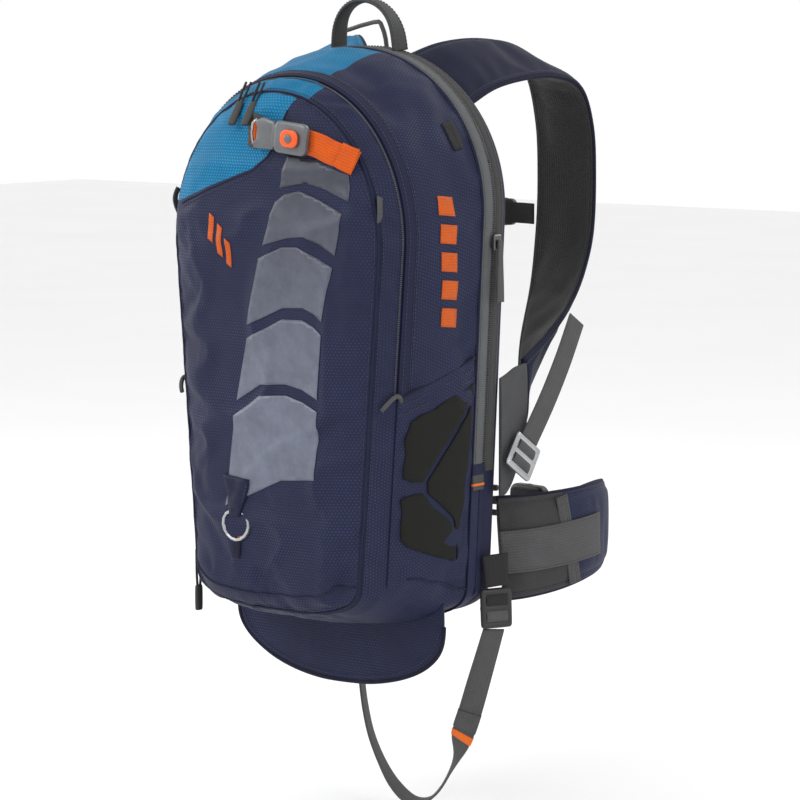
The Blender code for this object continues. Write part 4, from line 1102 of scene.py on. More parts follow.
# ---------------------------------------------------------------- Hip belt
# Two padded wings of navy cloth with a grey panel near the pack and mesh inside. Webbing is sewn
# along each wing and threaded through one half of the side-release buckle, here undone.
HIP_ROWS = [
    (0.1270, 0.0560, 0.064, 0.097), (0.1450, 0.0760, 0.066, 0.095), (0.1585, 0.1040, 0.069, 0.092),
    (0.1635, 0.1360, 0.072, 0.088), (0.1580, 0.1700, 0.074, 0.084), (0.1430, 0.1990, 0.074, 0.078),
    (0.1190, 0.2210, 0.073, 0.066), (0.0890, 0.2350, 0.072, 0.046)]
HIP_PROFILE = soft_profile(0.26, 0.88)
HIP_GREY = pack_cloth("grey_hip_cloth", (0.048, 0.047, 0.048), dots=0.2, dull=0.72)
HIP_THICK, HIP_STEPS = 0.0132, 8
GREY_ROWS, LONG_ROWS, LONG_WIDTH = 18, 29, 0.040
BELT_Z, BELT_WIDTH = 0.072, 0.025
for label, side, body in (("right", 1, "hip_r"), ("left", -1, "hip_l")):
    rows = [(side * x, y, z, 0, 0, 1, height) for x, y, z, height in HIP_ROWS]
    half = len(HIP_PROFILE) // 2

    def wing_cloth(i, j):
        outside = (j < half) == (side > 0)
        if not outside:
            return 2
        return 1 if i < GREY_ROWS else 0

    wing = strip(f"hip_wing_{label}_cover", rows, HIP_THICK, [NAVY, HIP_GREY, MESH], HIP_STEPS,
                 HIP_PROFILE, pick=wing_cloth, wave=0.0007)
    count = (len(rows) - 1) * HIP_STEPS + 1
    sewn = np.array([abs(a) > 0.86 for a, b in HIP_PROFILE] * count)
    sewn[:len(HIP_PROFILE) * 3] = True
    sewn[-len(HIP_PROFILE) * 2:] = True
    settle(wing, sewn, 2.5, 0.02, 0.0025, 10)
    refine(wing)
    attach(wing, body)
    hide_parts(f"hip_wing_{label}")
    out = -0.5 if side > 0 else 0.5
    for edge in (-1, 1):
        name = "low" if edge < 0 else "high"
        route = [p for p, up in line_on(rows, HIP_THICK, edge * 0.985, 0, HIP_STEPS)]
        piping = cordage(f"hip_{label}_binding_{name}", route, 0.0022, BINDING)
        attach(piping, body)
        line = line_on(rows, HIP_THICK, edge * 0.885, out * 0.55, HIP_STEPS)
        path, ups = np.array([p for p, up in line]), np.array([up for p, up in line]) * out * 2
        stitches(f"hip_{label}_stitch_{name}", path, nearest_way(path, ups), NAVY_THREAD, body)
    smooth = line_on(rows, HIP_THICK, -0.05, out * 1.52, HIP_STEPS)
    long_rows = [(*p, 0, 0, 1, LONG_WIDTH) for p, up in smooth[:LONG_ROWS]]
    band = strip(f"hip_{label}_long_webbing", long_rows, 0.0016, [GREY_WEBBING], 1)
    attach(band, body)
    low, high = (line_on(rows, HIP_THICK, a, out * 1.12, HIP_STEPS)[GREY_ROWS][0]
                 for a in (-0.93, 0.93))
    along = smooth[GREY_ROWS + 1][0] - smooth[GREY_ROWS - 1][0]
    along /= np.linalg.norm(along)
    away = smooth[GREY_ROWS][1] * out * 2
    bend = [(low + (high - low) * t + away * 0.0006 * math.sin(math.pi * t))
            + along * 0.010 * (0.5 - t) for t in np.linspace(0, 1, 9)]
    upright = strip(f"hip_{label}_upright_webbing", [(*p, *along, 0.0135) for p in bend], 0.0014,
                    [GREY_WEBBING], 2)
    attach(upright, body)
    for edge in (-1, -0.45, 0.45, 1):
        stitches(f"hip_{label}_upright_stitch_{int(50 + edge * 20)}",
                 [p + along * 0.0050 * edge + away * 0.0009 for p in bend], away, GREY_THREAD, body)
    near_front = line_on(rows, HIP_THICK, 0.18, out * 1.55, HIP_STEPS)[-10:-3:3]
    front_patch = [(*p, 0.12, 0, 1, w) for (p, up), w in zip(near_front, (0.026, 0.033, 0.040))]
    patch = strip(f"hip_{label}_front_patch", front_patch, 0.0014, [GREY_WEBBING], 4)
    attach(patch, body)
    for edge in (-0.93, 0.93):
        lift = out * 2 * 0.0011
        stitches(f"hip_{label}_long_stitch_{'low' if edge < 0 else 'high'}",
                 [p + up * lift + (0, 0, LONG_WIDTH / 2 * edge) for p, up in smooth[1:LONG_ROWS]],
                 smooth[20][1] * out * 2, GREY_THREAD, body)
    rows = [(side * x, y, BELT_Z, 0, 0, 1, BELT_WIDTH) for x, y in
            ((0.0870, 0.2360), (0.0670, 0.2420), (0.0490, 0.2455))]
    webbing = strip(f"hip_webbing_{label}_woven", rows, 0.0016, [GREY_WEBBING], 6)
    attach(webbing, body)
    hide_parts(f"hip_webbing_{label}")
turn = math.radians(-8)
place = (0.0230, 0.2490, BELT_Z)
buckle("hip_socket", [
    (0.047, 0.040, 0.009, 0.0118, place, turn), (0.012, 0.0412, 0.004, 0.0070, place, turn),
    (0.030, 0.020, 0.005, 0.0024, (0.0235, 0.2554, BELT_Z), turn)],
    "hip_r", "hip_buckle_socket", BLACK_PLASTIC)
turn = math.radians(10)
buckle("hip_plug", [
    (0.014, 0.032, 0.003, 0.0088, (-0.0390, 0.2466, BELT_Z), turn),
    (0.020, 0.008, 0.002, 0.0060, (-0.0265, 0.2488, BELT_Z), turn),
    (0.020, 0.006, 0.002, 0.0050, (-0.0265, 0.2488, 0.0845), turn),
    (0.020, 0.006, 0.002, 0.0050, (-0.0265, 0.2488, 0.0595), turn)],
    "hip_l", "hip_buckle_plug", BLACK_PLASTIC)

# ---------------------------------------------------------------- Leg strap's tab and lock
# A black folded webbing tab sewn at the panel's lower right corner holds a moulded ladder lock.
LEG_LOCK_PLACE, LEG_LOCK_SIZE = np.array((0.1430, 0.0300, 0.0140)), (0.0318, 0.0368, 0.0066)
tab = strip("leg_strap_tab_folded", [(0.1430, 0.0280, 0.0640, 0.45, 0.89, 0, 0.026),
                                     (0.1430, 0.0290, 0.0500, 0.45, 0.89, 0, 0.024),
                                     (0.1435, 0.0300, 0.0345, 0.45, 0.89, 0, 0.0225)],
            0.0034, [BLACK_WEBBING], 6)
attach(tab, "root")
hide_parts("leg_strap_tab")
leg_lock = slide_lock("leg_lock_moulded", LEG_LOCK_PLACE, (0.45, 0.89, 0), (-0.08, 0, 1),
                      *LEG_LOCK_SIZE, BLACK_PLASTIC)
leg_across = np.array((0.45, 0.89, 0)) / np.linalg.norm((0.45, 0.89, 0))
leg_along = np.array((-0.08, 0, 1)) / np.linalg.norm((-0.08, 0, 1))
leg_along = leg_along - leg_across * leg_across.dot(leg_along)
leg_facing = np.cross(leg_across, leg_along)
leg_threaded = threaded_over("leg_lock_threaded", LEG_LOCK_PLACE, (leg_across, leg_along, leg_facing),
                             0.0140, 0.0012, 0.0028, 0.0215, 0.0015, [GREY_WEBBING, BLACK_WEBBING])
for threaded, slot in zip(leg_threaded, ("grey_webbing", "black_plastic")):
    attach(threaded, "leg_lock")
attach(leg_lock, "leg_lock")
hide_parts("leg_ladder_lock")

# ---------------------------------------------------------------- Inflation system and trigger
# Two gas cartridges in a cast valve block, the airbag folded above it, and an orange handle on
# the left strap whose sheathed cable turns the valve's lever.
AIRBAG_CLOTH = pack_cloth("airbag_cloth", (0.62, 0.115, 0.02), dots=0.6, dull=0.5)
dress("inflator_body", GREY_PLASTIC)
dress("inflator_lever", ORANGE_PLASTIC)
dress("cartridge_right", CYLINDER)
dress("cartridge_left", CYLINDER)
bag_low, bag_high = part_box("folded_airbag")
bag_low, bag_high = np.array(bag_low) - PACK, np.array(bag_high) - PACK
BAG_ROWS, BAG_LAPS = 44, 5
grid, cut = [], []
for i in range(BAG_ROWS + 1):
    z = bag_low[2] + (bag_high[2] - bag_low[2]) * i / BAG_ROWS
    lap = 0.5 - 0.5 * math.cos(2 * math.pi * i / BAG_ROWS * BAG_LAPS)
    end = min(1, math.sin(math.pi * min(max(i / BAG_ROWS, 0.02), 0.98)) * 3.2)
    half_x = (bag_high[0] - bag_low[0]) / 2 * (0.90 + 0.085 * end)
    half_y = (bag_high[1] - bag_low[1]) / 2 * (0.60 + 0.26 * end + 0.10 * lap * end)
    row = []
    for x, y in rounded(2 * half_x, 2 * half_y, half_y * 0.75, 7):
        row.append((x, y + (bag_low[1] + bag_high[1]) / 2, z))
    grid.append(row)
    cut.append([(k * 0.012, z) for k in range(len(row) + 1)])
airbag = skin("folded_airbag_cloth", grid, cut, [AIRBAG_CLOTH], closed=True, capped=True)
refine(airbag)
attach(airbag, "root")
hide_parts("folded_airbag")
HANDLE_X, HANDLE_Y, HANDLE_TOP, HANDLE_LENGTH = -0.1130, 0.2255, 0.3400, 0.088
HANDLE_ROWS, HANDLE_GROOVES, HANDLE_RADIUS = 24, 6, 0.0070
grip = []
for i in range(HANDLE_ROWS + 1):
    z = HANDLE_TOP - HANDLE_LENGTH * i / HANDLE_ROWS
    end = min(1, math.sin(math.pi * min(max(i / HANDLE_ROWS, 0.03), 0.97)) * 3.5)
    wave = 0.5 + 0.5 * math.cos(2 * math.pi * i / HANDLE_ROWS * HANDLE_GROOVES)
    groove = 1 - 0.10 * wave * (4 < i < 20)
    radius = HANDLE_RADIUS * (0.62 + 0.38 * end) * groove
    grip.append([(HANDLE_X + radius * math.cos(2 * math.pi * k / 16),
                  HANDLE_Y + radius * math.sin(2 * math.pi * k / 16), z) for k in range(16)])
grip_cut = [[(k * 0.003, i * 0.0037) for k in range(17)] for i in range(HANDLE_ROWS + 1)]
handle = skin("trigger_handle_grip", grip, grip_cut, [ORANGE_PLASTIC], closed=True, capped=True)
refine(handle)
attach(handle, "trigger")
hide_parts("trigger_handle")
dress("trigger_cable", BLACK_PLASTIC)

# ---------------------------------------------------------------- Shell
# The main compartment: one long wrap of coated cloth round the sides, top and bottom, blue over the
# upper left and navy elsewhere, lined in grey and closed in front by the pocket's back wall.
LINING = pack_cloth("grey_lining", (0.16, 0.165, 0.17), dots=0.15, dull=0.8)


def on_surface(piece):
    """A tree of a piece's finished surface, for sewing and printing on it."""
    graph = bpy.context.evaluated_depsgraph_get()
    return BVHTree.FromObject(piece, graph)


def bake(piece):
    """Fixes a piece's finished surface as its mesh."""
    graph = bpy.context.evaluated_depsgraph_get()
    mesh = bpy.data.meshes.new_from_object(piece.evaluated_get(graph), depsgraph=graph)
    piece.modifiers.clear()
    piece.data = mesh
    return piece


def in_blue(x, z):
    return x < 0.0 and z > 0.235 or x < 0.040 and z > 0.45


shell_depths = [0.0144, 0.009, 0.0, -0.009, -0.020, -0.031, -0.042, -0.053, -0.064, -0.074, -0.084,
                -0.092]
wrap_grid = [ring(y, share=share_at(y)) for y in shell_depths]
wrap_cut = [[(GIRTH * j / OUTLINE_STEPS, y) for j in range(OUTLINE_STEPS + 1)] for y in shell_depths]
middle_ring = wrap_grid[5]
shell_wrap = skin("shell_wrap", wrap_grid, wrap_cut, [NAVY, BLUE],
                  pick=lambda i, j: 1 if in_blue(middle_ring[j][0], middle_ring[j][2]) else 0,
                  closed=True)
depths = np.repeat(shell_depths, OUTLINE_STEPS)
held = (depths > -0.002) | (depths < -0.080)
rumple(shell_wrap, held, 0.0020, np.array((22, 30, 16)), 2.0)
settle(shell_wrap, held, 5.0, 0.035, 0.0045, 18)
refine(shell_wrap)
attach(shell_wrap, "pack_shell")
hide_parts("shell")
lining_rings = [ring(y, inset, share=share_at(y)) for y, inset in
                ((0.0140, 0.0006), (0.0130, 0.0030), (0.0, 0.0050), (-0.030, 0.0055), (-0.060, 0.0055),
                 (-0.086, 0.0055), (-0.0880, 0.008))]
for k in range(1, 11):
    lining_rings.append(drawn_in(lining_rings[6], 1 - k / 10, -0.0880, 0.45))
lining_cut = [[(p[0], p[2]) for p in points + points[:1]] for points in lining_rings]
lining = weld(skin("shell_lining", [r[::-1] for r in lining_rings], [r[::-1] for r in lining_cut],
                   [LINING], closed=True))
front_wall_rings = [ring(-0.0905, 0.0008, share=share_at(-0.092))]
for k in range(1, 11):
    front_wall_rings.append(drawn_in(front_wall_rings[0], 1 - k / 10, -0.0905, 0.45))
front_wall_cut = [[(p[0], p[2]) for p in points + points[:1]] for points in front_wall_rings]
pocket_back = weld(skin("pocket_back_wall", front_wall_rings, front_wall_cut, [NAVY_SMOOTH],
                        closed=True))
for piece in (lining, pocket_back):
    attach(piece, "pack_shell")
edge_route = [on_outline(i, -0.0005, 0.0006) for i in range(OUTLINE_STEPS)]
piping = cordage("shell_edge_piping", edge_route, 0.0010, NAVY_SMOOTH, closed=True)
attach(piping, "pack_shell")

# ---------------------------------------------------------------- Shell zip tape
# The front half of the main zip: paler grey tape, with the slider and its webbing pull on the right
# and a sewn end tab where the zip stops.
front_tape = edge_band("shell_tape_woven", [(0.0130, 0.0003), (0.0128, 0.0016), (0.0060, 0.0019),
                                            (0.0004, 0.0016), (-0.0016, 0.0003)],
                       ZIP_END, TAPE_GREY)
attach(front_tape, "pack_shell")
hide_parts("shell_zip_tape")
stitches("shell_tape_stitch", [on_outline(i, 0.0015, 0.0021) for i in coil_steps], from_middle,
         GREY_THREAD, "pack_shell")
dress("main_zip_slider", DARK_METAL)
pull_low, pull_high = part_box("main_zip_pull")
pull_top = np.array(((pull_low[0] + pull_high[0]) / 2, (pull_low[1] + pull_high[1]) / 2,
                     pull_high[2])) - PACK
pull_rows = [(pull_top[0], pull_top[1], pull_top[2] - 0.0560 * t, 0, 1, 0, w)
             for t, w in ((0.0, 0.0050), (0.15, 0.0062), (0.45, 0.0078), (0.8, 0.0100), (1, 0.0104))]
main_pull = strip("main_zip_pull_webbing", pull_rows, 0.0020, [GREY_WEBBING], 6)
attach(main_pull, "main_pull")
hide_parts("main_zip_pull")
ORANGE_CLOTH = webbing_weave("orange_tab_weave", (0.78, 0.17, 0.02), 0.001)
for label, side in (("right", 1), ("left", -1)):
    x = side_half(0.139, 0.0)
    for part, finish, slot, rows, thick in (
            ("sleeve", NAVY_SMOOTH, "navy_fabric",
             [(side * (x + 0.0012), 0.0068, z, 0, 1, 0, 0.0176) for z in (0.1500, 0.1450, 0.1400)],
             0.0030),
            ("tab", WING_GREY, "grey_webbing",
             [(side * (x + 0.0013), 0.0068, z, 0, 1, 0, w) for z, w in
              ((0.1405, 0.0160), (0.1340, 0.0158), (0.1260, 0.0154))], 0.0024),
            ("stripe", ORANGE_CLOTH, "orange_webbing",
             [(side * (x + 0.0014), 0.0068, z, 0, 1, 0, 0.0166) for z in (0.1322, 0.1300)], 0.0030)):
        made = strip(f"zip_end_{part}_{label}", rows, thick, [finish], 4)
        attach(made, "pack_shell")

# ---------------------------------------------------------------- Bottom flap
# A half-round skirt of pack cloth hung under the shell, bound and double-stitched round its edge.
FLAP_HALF, FLAP_Y, FLAP_DROP = 0.122, -0.022, 0.064
grid, cut, edge = [], [], []
for i in range(61):
    turn = math.pi * i / 60
    x = FLAP_HALF * math.cos(turn)
    deep = FLAP_DROP * math.sin(turn) ** 0.8
    reach = min(abs(x) / side_half(LOW_DROP, share_at(FLAP_Y)), 1)
    base = LOW_DROP * (1 - (1 - reach ** 2.6) ** (1 / 2.6)) + 0.0004
    low = min(-deep, base - 0.0080)
    row, flat = [], []
    for k in range(13):
        z = base + (low - base) * k / 12
        sway = 0.0030 * noise.noise(Vector((x * 26, z * 30, 1.7))) * (k / 12)
        row.append((x, FLAP_Y - 0.0011 + sway, z))
        flat.append((x, z))
    back = [(p[0], p[1] + 0.0020, p[2]) for p in row[::-1]]
    grid.append(row + back)
    cut.append(flat + flat[::-1] + flat[:1])
    edge.append((row[-1][0], row[-1][1] + 0.0010, row[-1][2] + 0.0012))
flap = skin("bottom_flap_cloth", grid, cut, [NAVY], closed=True, capped=True)
flap_edge = cordage("bottom_flap_binding", edge, 0.0021, BINDING)
flap_sewn = [(p[0] * 0.972, p[1] - 0.0022, p[2] + 0.0048) for p in edge]
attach(flap, "flap")
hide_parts("bottom_flap")
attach(flap_edge, "flap")
flap_stitch = stitches("bottom_flap_stitch", flap_sewn[2:-2], (0, -1, 0), NAVY_THREAD, "flap")

# ---------------------------------------------------------------- Side pockets and patches
# Stretch pockets sewn on the lower sides with a slanting hem; rubbery patches guard them from
# ski edges.
RUBBER = moulded("embossed_rubber", (0.0120, 0.0125, 0.0110), 0.66, 0.9, glint=0.12)


def inside(outline, point):
    x, y = point
    hit = False
    for (x0, y0), (x1, y1) in zip(outline, outline[1:] + outline[:1]):
        if (y0 > y) != (y1 > y) and x < (x1 - x0) * (y - y0) / (y1 - y0) + x0:
            hit = not hit
    return hit


def laid_on(name, outline, tree, cast, lift, thickness, finish, step=0.004):
    """A flat-cut patch or print laid on a surface; cast gives a ray for each point of the cut."""
    border = []
    for (x0, y0), (x1, y1) in zip(outline, outline[1:] + outline[:1]):
        count = max(1, round(math.hypot(x1 - x0, y1 - y0) / step))
        border += [(x0 + (x1 - x0) * k / count, y0 + (y1 - y0) * k / count) for k in range(count)]
    xs, ys = [p[0] for p in outline], [p[1] for p in outline]
    fill = []
    for i in range(int((max(xs) - min(xs)) / step) + 1):
        for j in range(int((max(ys) - min(ys)) / step) + 1):
            p = (min(xs) + (i + 0.5 * (j % 2)) * step, min(ys) + (j + 0.5) * step)
            near = min(math.hypot(p[0] - q[0], p[1] - q[1]) for q in border)
            if near > step * 0.55 and inside(outline, p):
                fill.append(p)
    edges = [(k, (k + 1) % len(border)) for k in range(len(border))]
    flat, _, faces, _, _, _ = delaunay_2d_cdt([Vector(p) for p in border + fill], edges,
                                              [list(range(len(border)))], 1, 1e-7)
    points = []
    for p in flat:
        start, along = cast(p)
        hit, normal, _, _ = tree.ray_cast(Vector(start) + Vector(PACK), Vector(along))
        if hit is None:
            hit, normal, _, _ = tree.find_nearest(Vector(start) + Vector(PACK))
        if normal.dot(Vector(along)) > 0:
            normal = -normal
        points.append(hit + normal * lift)
    mesh = bpy.data.meshes.new(name)
    first = faces[0]
    facing = (points[first[1]] - points[first[0]]).cross(points[first[2]] - points[first[0]])
    if facing.dot(Vector(cast(flat[0])[1])) > 0:
        faces = [f[::-1] for f in faces]
    mesh.from_pydata(points, [], faces)
    coords = mesh.uv_layers.new(name="cut")
    for face in mesh.polygons:
        for loop in face.loop_indices:
            coords.data[loop].uv = flat[mesh.loops[loop].vertex_index]
    mesh.materials.append(finish)
    mesh.shade_smooth()
    made = bpy.data.objects.new(name, mesh)
    bpy.context.scene.collection.objects.link(made)
    body = made.modifiers.new("body", "SOLIDIFY")
    body.thickness = thickness
    body.offset = 1
    return bake(made)


def from_side(side):
    """Rays at one side of the pack from outside it, one for each point (y, z) of a cut."""
    return lambda p: ((side * 0.30, p[0], p[1]), (-side, 0, 0))


PATCH_CUTS = {
    "upper": [(-.0775, .1957), (-.0672, .2014), (-.0522, .2053), (-.0371, .2136), (-.018, .2202),
              (-.0055, .2251), (-.0049, .2152), (-.0179, .199), (-.0293, .1835), (-.0416, .1689),
              (-.0623, .1402), (-.0727, .1413), (-.0802, .1444), (-.0812, .1572), (-.0803, .1825)],
    "rear": [(-.0073, .2048), (-.0072, .1767), (-.0085, .1753), (-.009, .1541), (-.0127, .1286),
             (-.0151, .0969), (-.0172, .0648), (-.0196, .0822), (-.0202, .096), (-.0251, .1042),
             (-.0366, .1146), (-.0557, .1296), (-.0567, .1403), (-.0406, .162), (-.0255, .1816)],
    "lower": [(-.0811, .1257), (-.0708, .1291), (-.061, .1295), (-.05, .1161), (-.028, .1007),
              (-.0221, .084), (-.0205, .0640), (-.0364, .0682), (-.0555, .0744), (-.0744, .082),
              (-.0791, .0879), (-.0816, .1047)]}
for label, side in (("right", 1), ("left", -1)):
    grid, cut, held = [], [], []
    columns, lines = 25, 45
    for i in range(lines):
        row, flat = [], []
        for j in range(columns):
            y = -0.0045 - 0.0850 * j / (columns - 1)
            top = 0.2478 + (0.2116 - 0.2478) * (-y - 0.006) / 0.0998
            z = 0.045 + (top - 0.045) * i / (lines - 1)
            full = math.sin(math.pi * j / (columns - 1)) ** 0.6 * min(1, (i / 6) ** 0.7)
            x = side_half(z, share_at(y)) + 0.0012 + 0.0030 * full
            row.append((side * x, y, z))
            flat.append((y, z))
            held.append(i == 0 or i > lines - 3 or j in (0, columns - 1))
        grid.append(row)
        cut.append(flat)
    if side > 0:
        grid, cut = [r[::-1] for r in grid], [r[::-1] for r in cut]
    pocket = skin(f"side_pocket_{label}_stretch", grid, cut, [NAVY])
    settle(pocket, np.array(held).reshape(lines, columns)[:, ::(-1 if side > 0 else 1)].ravel(),
           1.5, 0.03, 0.0020, 12)
    refine(pocket)
    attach(pocket, "pack_shell")
    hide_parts(f"side_pocket_{label}")
    tree = on_surface(pocket)
    hem = [grid[-1][k] for k in range(columns)]
    piping = cordage(f"side_pocket_{label}_hem", hem, 0.0016, BINDING)
    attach(piping, "pack_shell")
    for k, at in enumerate((-3, -5)):
        route = []
        for p in grid[at]:
            hit, normal, _, _ = tree.find_nearest(Vector(p) + Vector(PACK))
            route.append(np.array(hit) - PACK + (side * 0.0004, 0, 0))
        stitches(f"side_pocket_{label}_stitch_{k}", route, (side, 0, 0), NAVY_THREAD, "pack_shell")
    for part, outline in PATCH_CUTS.items():
        patch = laid_on(f"side_patch_{label}_{part}", outline, tree, from_side(side), 0.0003, 0.0012,
                        RUBBER)
        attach(patch, "pack_shell")
        if part == "upper":
            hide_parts(f"side_patch_{label}")


def bend_with_pocket(piece):
    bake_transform(piece)
    return piece


BLUE_CUT = [(-0.0937, 0.3900), (-0.0286, 0.4116), (-0.0108, 0.4176), (-0.0002, 0.4251),
            (0.0081, 0.4342), (0.0160, 0.4490), (0.0222, 0.4640)]


def blue_corner(f, u, v):
    """Where the face's upper left is cut from blue cloth, above a curve of short straight cuts."""
    share = None
    for (x0, z0), (x1, z1) in zip(BLUE_CUT, BLUE_CUT[1:]):
        dx, dz = x1 - x0, z1 - z0
        along = f.sums("SUBTRACT", f.sums("MULTIPLY", f.sums("SUBTRACT", v, z0), dx),
                       f.sums("MULTIPLY", f.sums("SUBTRACT", u, x0), dz))
        share = along if share is None else f.sums("MINIMUM", share, along)
    return f.spread(share, 0, 0.000004)


FACE_CLOTH = pack_cloth("face_cloth", NAVY_COLOUR, BLUE_COLOUR, blue_corner)
front_rows = []
for turn in (0, 6, 12, 19, 26, 32.5, 38.7, 45, 52, 60, 69, 79, 90):
    a = math.radians(turn)
    y = -0.092 - 0.032 * math.sin(a)
    front_rows.append((y, 0.030 * (1 - math.cos(a)), turn))
SEAM = 6
front_grid = [ring(y, inset) for y, inset, _ in front_rows]
FACE_STEPS, FACE_CROWN = 34, 0.0036
for k in range(1, FACE_STEPS + 1):
    factor = 1 - k / FACE_STEPS
    front_grid.append(drawn_in(front_grid[len(front_rows) - 1], factor,
                               -PACK_DEPTH - FACE_CROWN * (1 - factor ** 2), 0.45))
front_cut = []
for i, points in enumerate(front_grid):
    if i < SEAM:
        front_cut.append([(GIRTH * j / OUTLINE_STEPS, points[0][1])
                          for j in range(OUTLINE_STEPS + 1)])
    else:
        front_cut.append([(p[0], p[2]) for p in points + points[:1]])
front_ring = front_grid[SEAM]
front = weld(skin("front_face", front_grid, front_cut, [FACE_CLOTH, NAVY, BLUE],
                  pick=lambda i, j: 0 if i >= SEAM else
                  (2 if in_blue(front_ring[j][0], front_ring[j][2]) else 1), closed=True))
spots = np.array([v.co for v in front.data.vertices]) - PACK
sewn = np.isclose(spots[:, 1], front_rows[0][0], atol=1e-5)
sewn |= np.isclose(spots[:, 1], front_rows[SEAM][0], atol=1e-5)
across_hem = (np.abs(spots[:, 0]) < 0.001) & (spots[:, 2] < 0.05)
rumple(front, sewn | across_hem, 0.0034, np.array((14, 40, 19)), 5.0)
settle(front, sewn | across_hem, 4.0, 0.030, 0.0050, 20)
refine(front)
bake(front)
front_tree = on_surface(front)


def snapped(points, tree, lift):
    """Points moved to the nearest place on a surface and lifted off it, with the way out there."""
    places, ways = [], []
    for p in points:
        hit, normal, _, _ = tree.find_nearest(Vector(p) + Vector(PACK))
        inward = Vector((0, 0, 0.25)) + Vector(PACK)
        if normal.dot(hit - inward) < 0:
            normal = -normal
        places.append(np.array(hit + normal * lift) - PACK)
        ways.append(np.array(normal))
    return np.array(places), np.array(ways)


def sewn_line(name, points, tree, finish, body=None, pitch=0.0036, closed=False, size=0.0008):
    """A row of stitches lying on a surface along a line."""
    places, ways = snapped(points, tree, size * 0.35)
    way = nearest_way(places, ways)
    rows = [(p, along, way(p)) for p, along in even_places(places, pitch, closed)]
    made = many(name, rows, *bead(pitch * 0.72, size, size * 1.1), finish)
    if body:
        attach(made, body)
    else:
        bend_with_pocket(made)
    return made


def from_front(p):
    """A ray at the front face from before it, for a point (x, z) of a cut."""
    return (p[0], -0.30, p[1]), (0, 1, 0)


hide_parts("pocket_cover", "lower_front_panel")
seam_places, _ = snapped(front_grid[SEAM], front_tree, 0.0004)
seam_piping = cordage("front_seam_piping", seam_places, 0.0012, NAVY_SMOOTH, closed=True)
for k, row in enumerate((SEAM - 1, SEAM + 1)):
    sewn_line(f"front_seam_stitch_{k}", front_grid[row], front_tree, NAVY_THREAD,
              closed=True)
dense = smooth_rows([(-0.1040, 0.3862)] + BLUE_CUT + [(0.0262, 0.4740)], 8)
line, _ = snapped([(x, -0.132, z) for x, z in dense], front_tree, 0.0001)
blue_seam = cordage("blue_corner_seam", line, 0.0008, NAVY_SMOOTH)
sewn_line("blue_corner_stitch", [(x + 0.0022, -0.132, z - 0.0032) for x, z in dense], front_tree,
          NAVY_THREAD)

# Reflective prints: five stacked arched bands and a plain three-bar mark, transferred on the face.
PRINT_SILVER = Finish("reflective_print")
print_place = PRINT_SILVER.node("ShaderNodeTexCoord").outputs["Object"]
print_grain = PRINT_SILVER.speckle(print_place, 1500, 2.0)
print_wear = PRINT_SILVER.speckle(print_place, 60, 6.0, 0.7)
print_tone = PRINT_SILVER.node("ShaderNodeVectorMath", (0.120, 0.132, 0.180), None,
                               operation="SCALE")
print_flat = PRINT_SILVER.node("ShaderNodeUVMap", uv_map="cut")
print_height = PRINT_SILVER.node("ShaderNodeSeparateXYZ", print_flat).outputs[1]
# Painted reflection: the reflective film is painted full tone low on the face and darker, down to a
# third, high up; the wear noise multiplied in is random real wear.
print_reflection_and_wear = PRINT_SILVER.sums("MULTIPLY", PRINT_SILVER.spread(print_height, 0.22, 0.42, 1.0, 0.34),
                              PRINT_SILVER.spread(print_wear.outputs[0], 0.3, 0.7, 0.80, 1.2))
PRINT_SILVER.plug(print_reflection_and_wear, print_tone.inputs["Scale"])
PRINT_FILM = PRINT_SILVER.done(print_tone, 0.40, print_grain, 0.0002, 0.5, Metallic=0.2)
ORANGE_PRINT = pack_cloth("orange_print", (0.62, 0.105, 0.010), dots=0.2, dull=0.5)
BANDS = {
    "first": [(.0278, .4320), (.0600, .4280), (.0925, .4165), (.0940, .3929), (.0701, .4026),
              (.0484, .4079), (.0195, .4026)],
    "second": [(.0148, .3899), (.0253, .3974), (.0415, .4007), (.0620, .3940), (.0893, .3822),
               (.0813, .3449), (.0650, .3540), (.0482, .3602), (.0297, .3584), (.0017, .3509)],
    "third": [(-.0031, .3390), (.0239, .3502), (.0413, .3510), (.0600, .3430), (.0790, .3342),
              (.0697, .2858), (.0590, .2925), (.0468, .2969), (.0236, .2956), (-.0177, .2778)],
    "fourth": [(-.0178, .2660), (.0235, .2857), (.0467, .2862), (.0590, .2810), (.0697, .2742),
               (.0637, .2158), (.0470, .2240), (.0290, .2276), (-.0003, .2255), (-.0302, .2087)],
    "fifth": [(-.0327, .1948), (-.0004, .2155), (.0290, .2177), (.0470, .2130), (.0637, .2050),
              (.0611, .1437), (.0227, .1402), (-.0309, .1169), (-.0454, .1109)]}
prints = []
for name, outline in BANDS.items():
    prints.append((laid_on(f"face_print_{name}", outline, front_tree, from_front, 0.00045, 0.00015,
                           PRINT_FILM, 0.0034), "navy_fabric"))
for k, (x, z, tall) in enumerate(((-0.0595, 0.3640, 0.019), (-0.0495, 0.3530, 0.023),
                                  (-0.0395, 0.3420, 0.019))):
    bar = [(x - 0.003, z - tall / 2), (x + 0.003, z - tall / 2 - 0.004),
           (x + 0.003, z + tall / 2), (x - 0.003, z + tall / 2 + 0.004)]
    prints.append((laid_on(f"face_mark_{k}", bar, front_tree, from_front, 0.00040, 0.00015,
                           ORANGE_PRINT, 0.003), "orange_webbing"))
for piece, slot in prints:
    bend_with_pocket(piece)
for piece in (front, seam_piping, blue_seam):
    bend_with_pocket(piece)

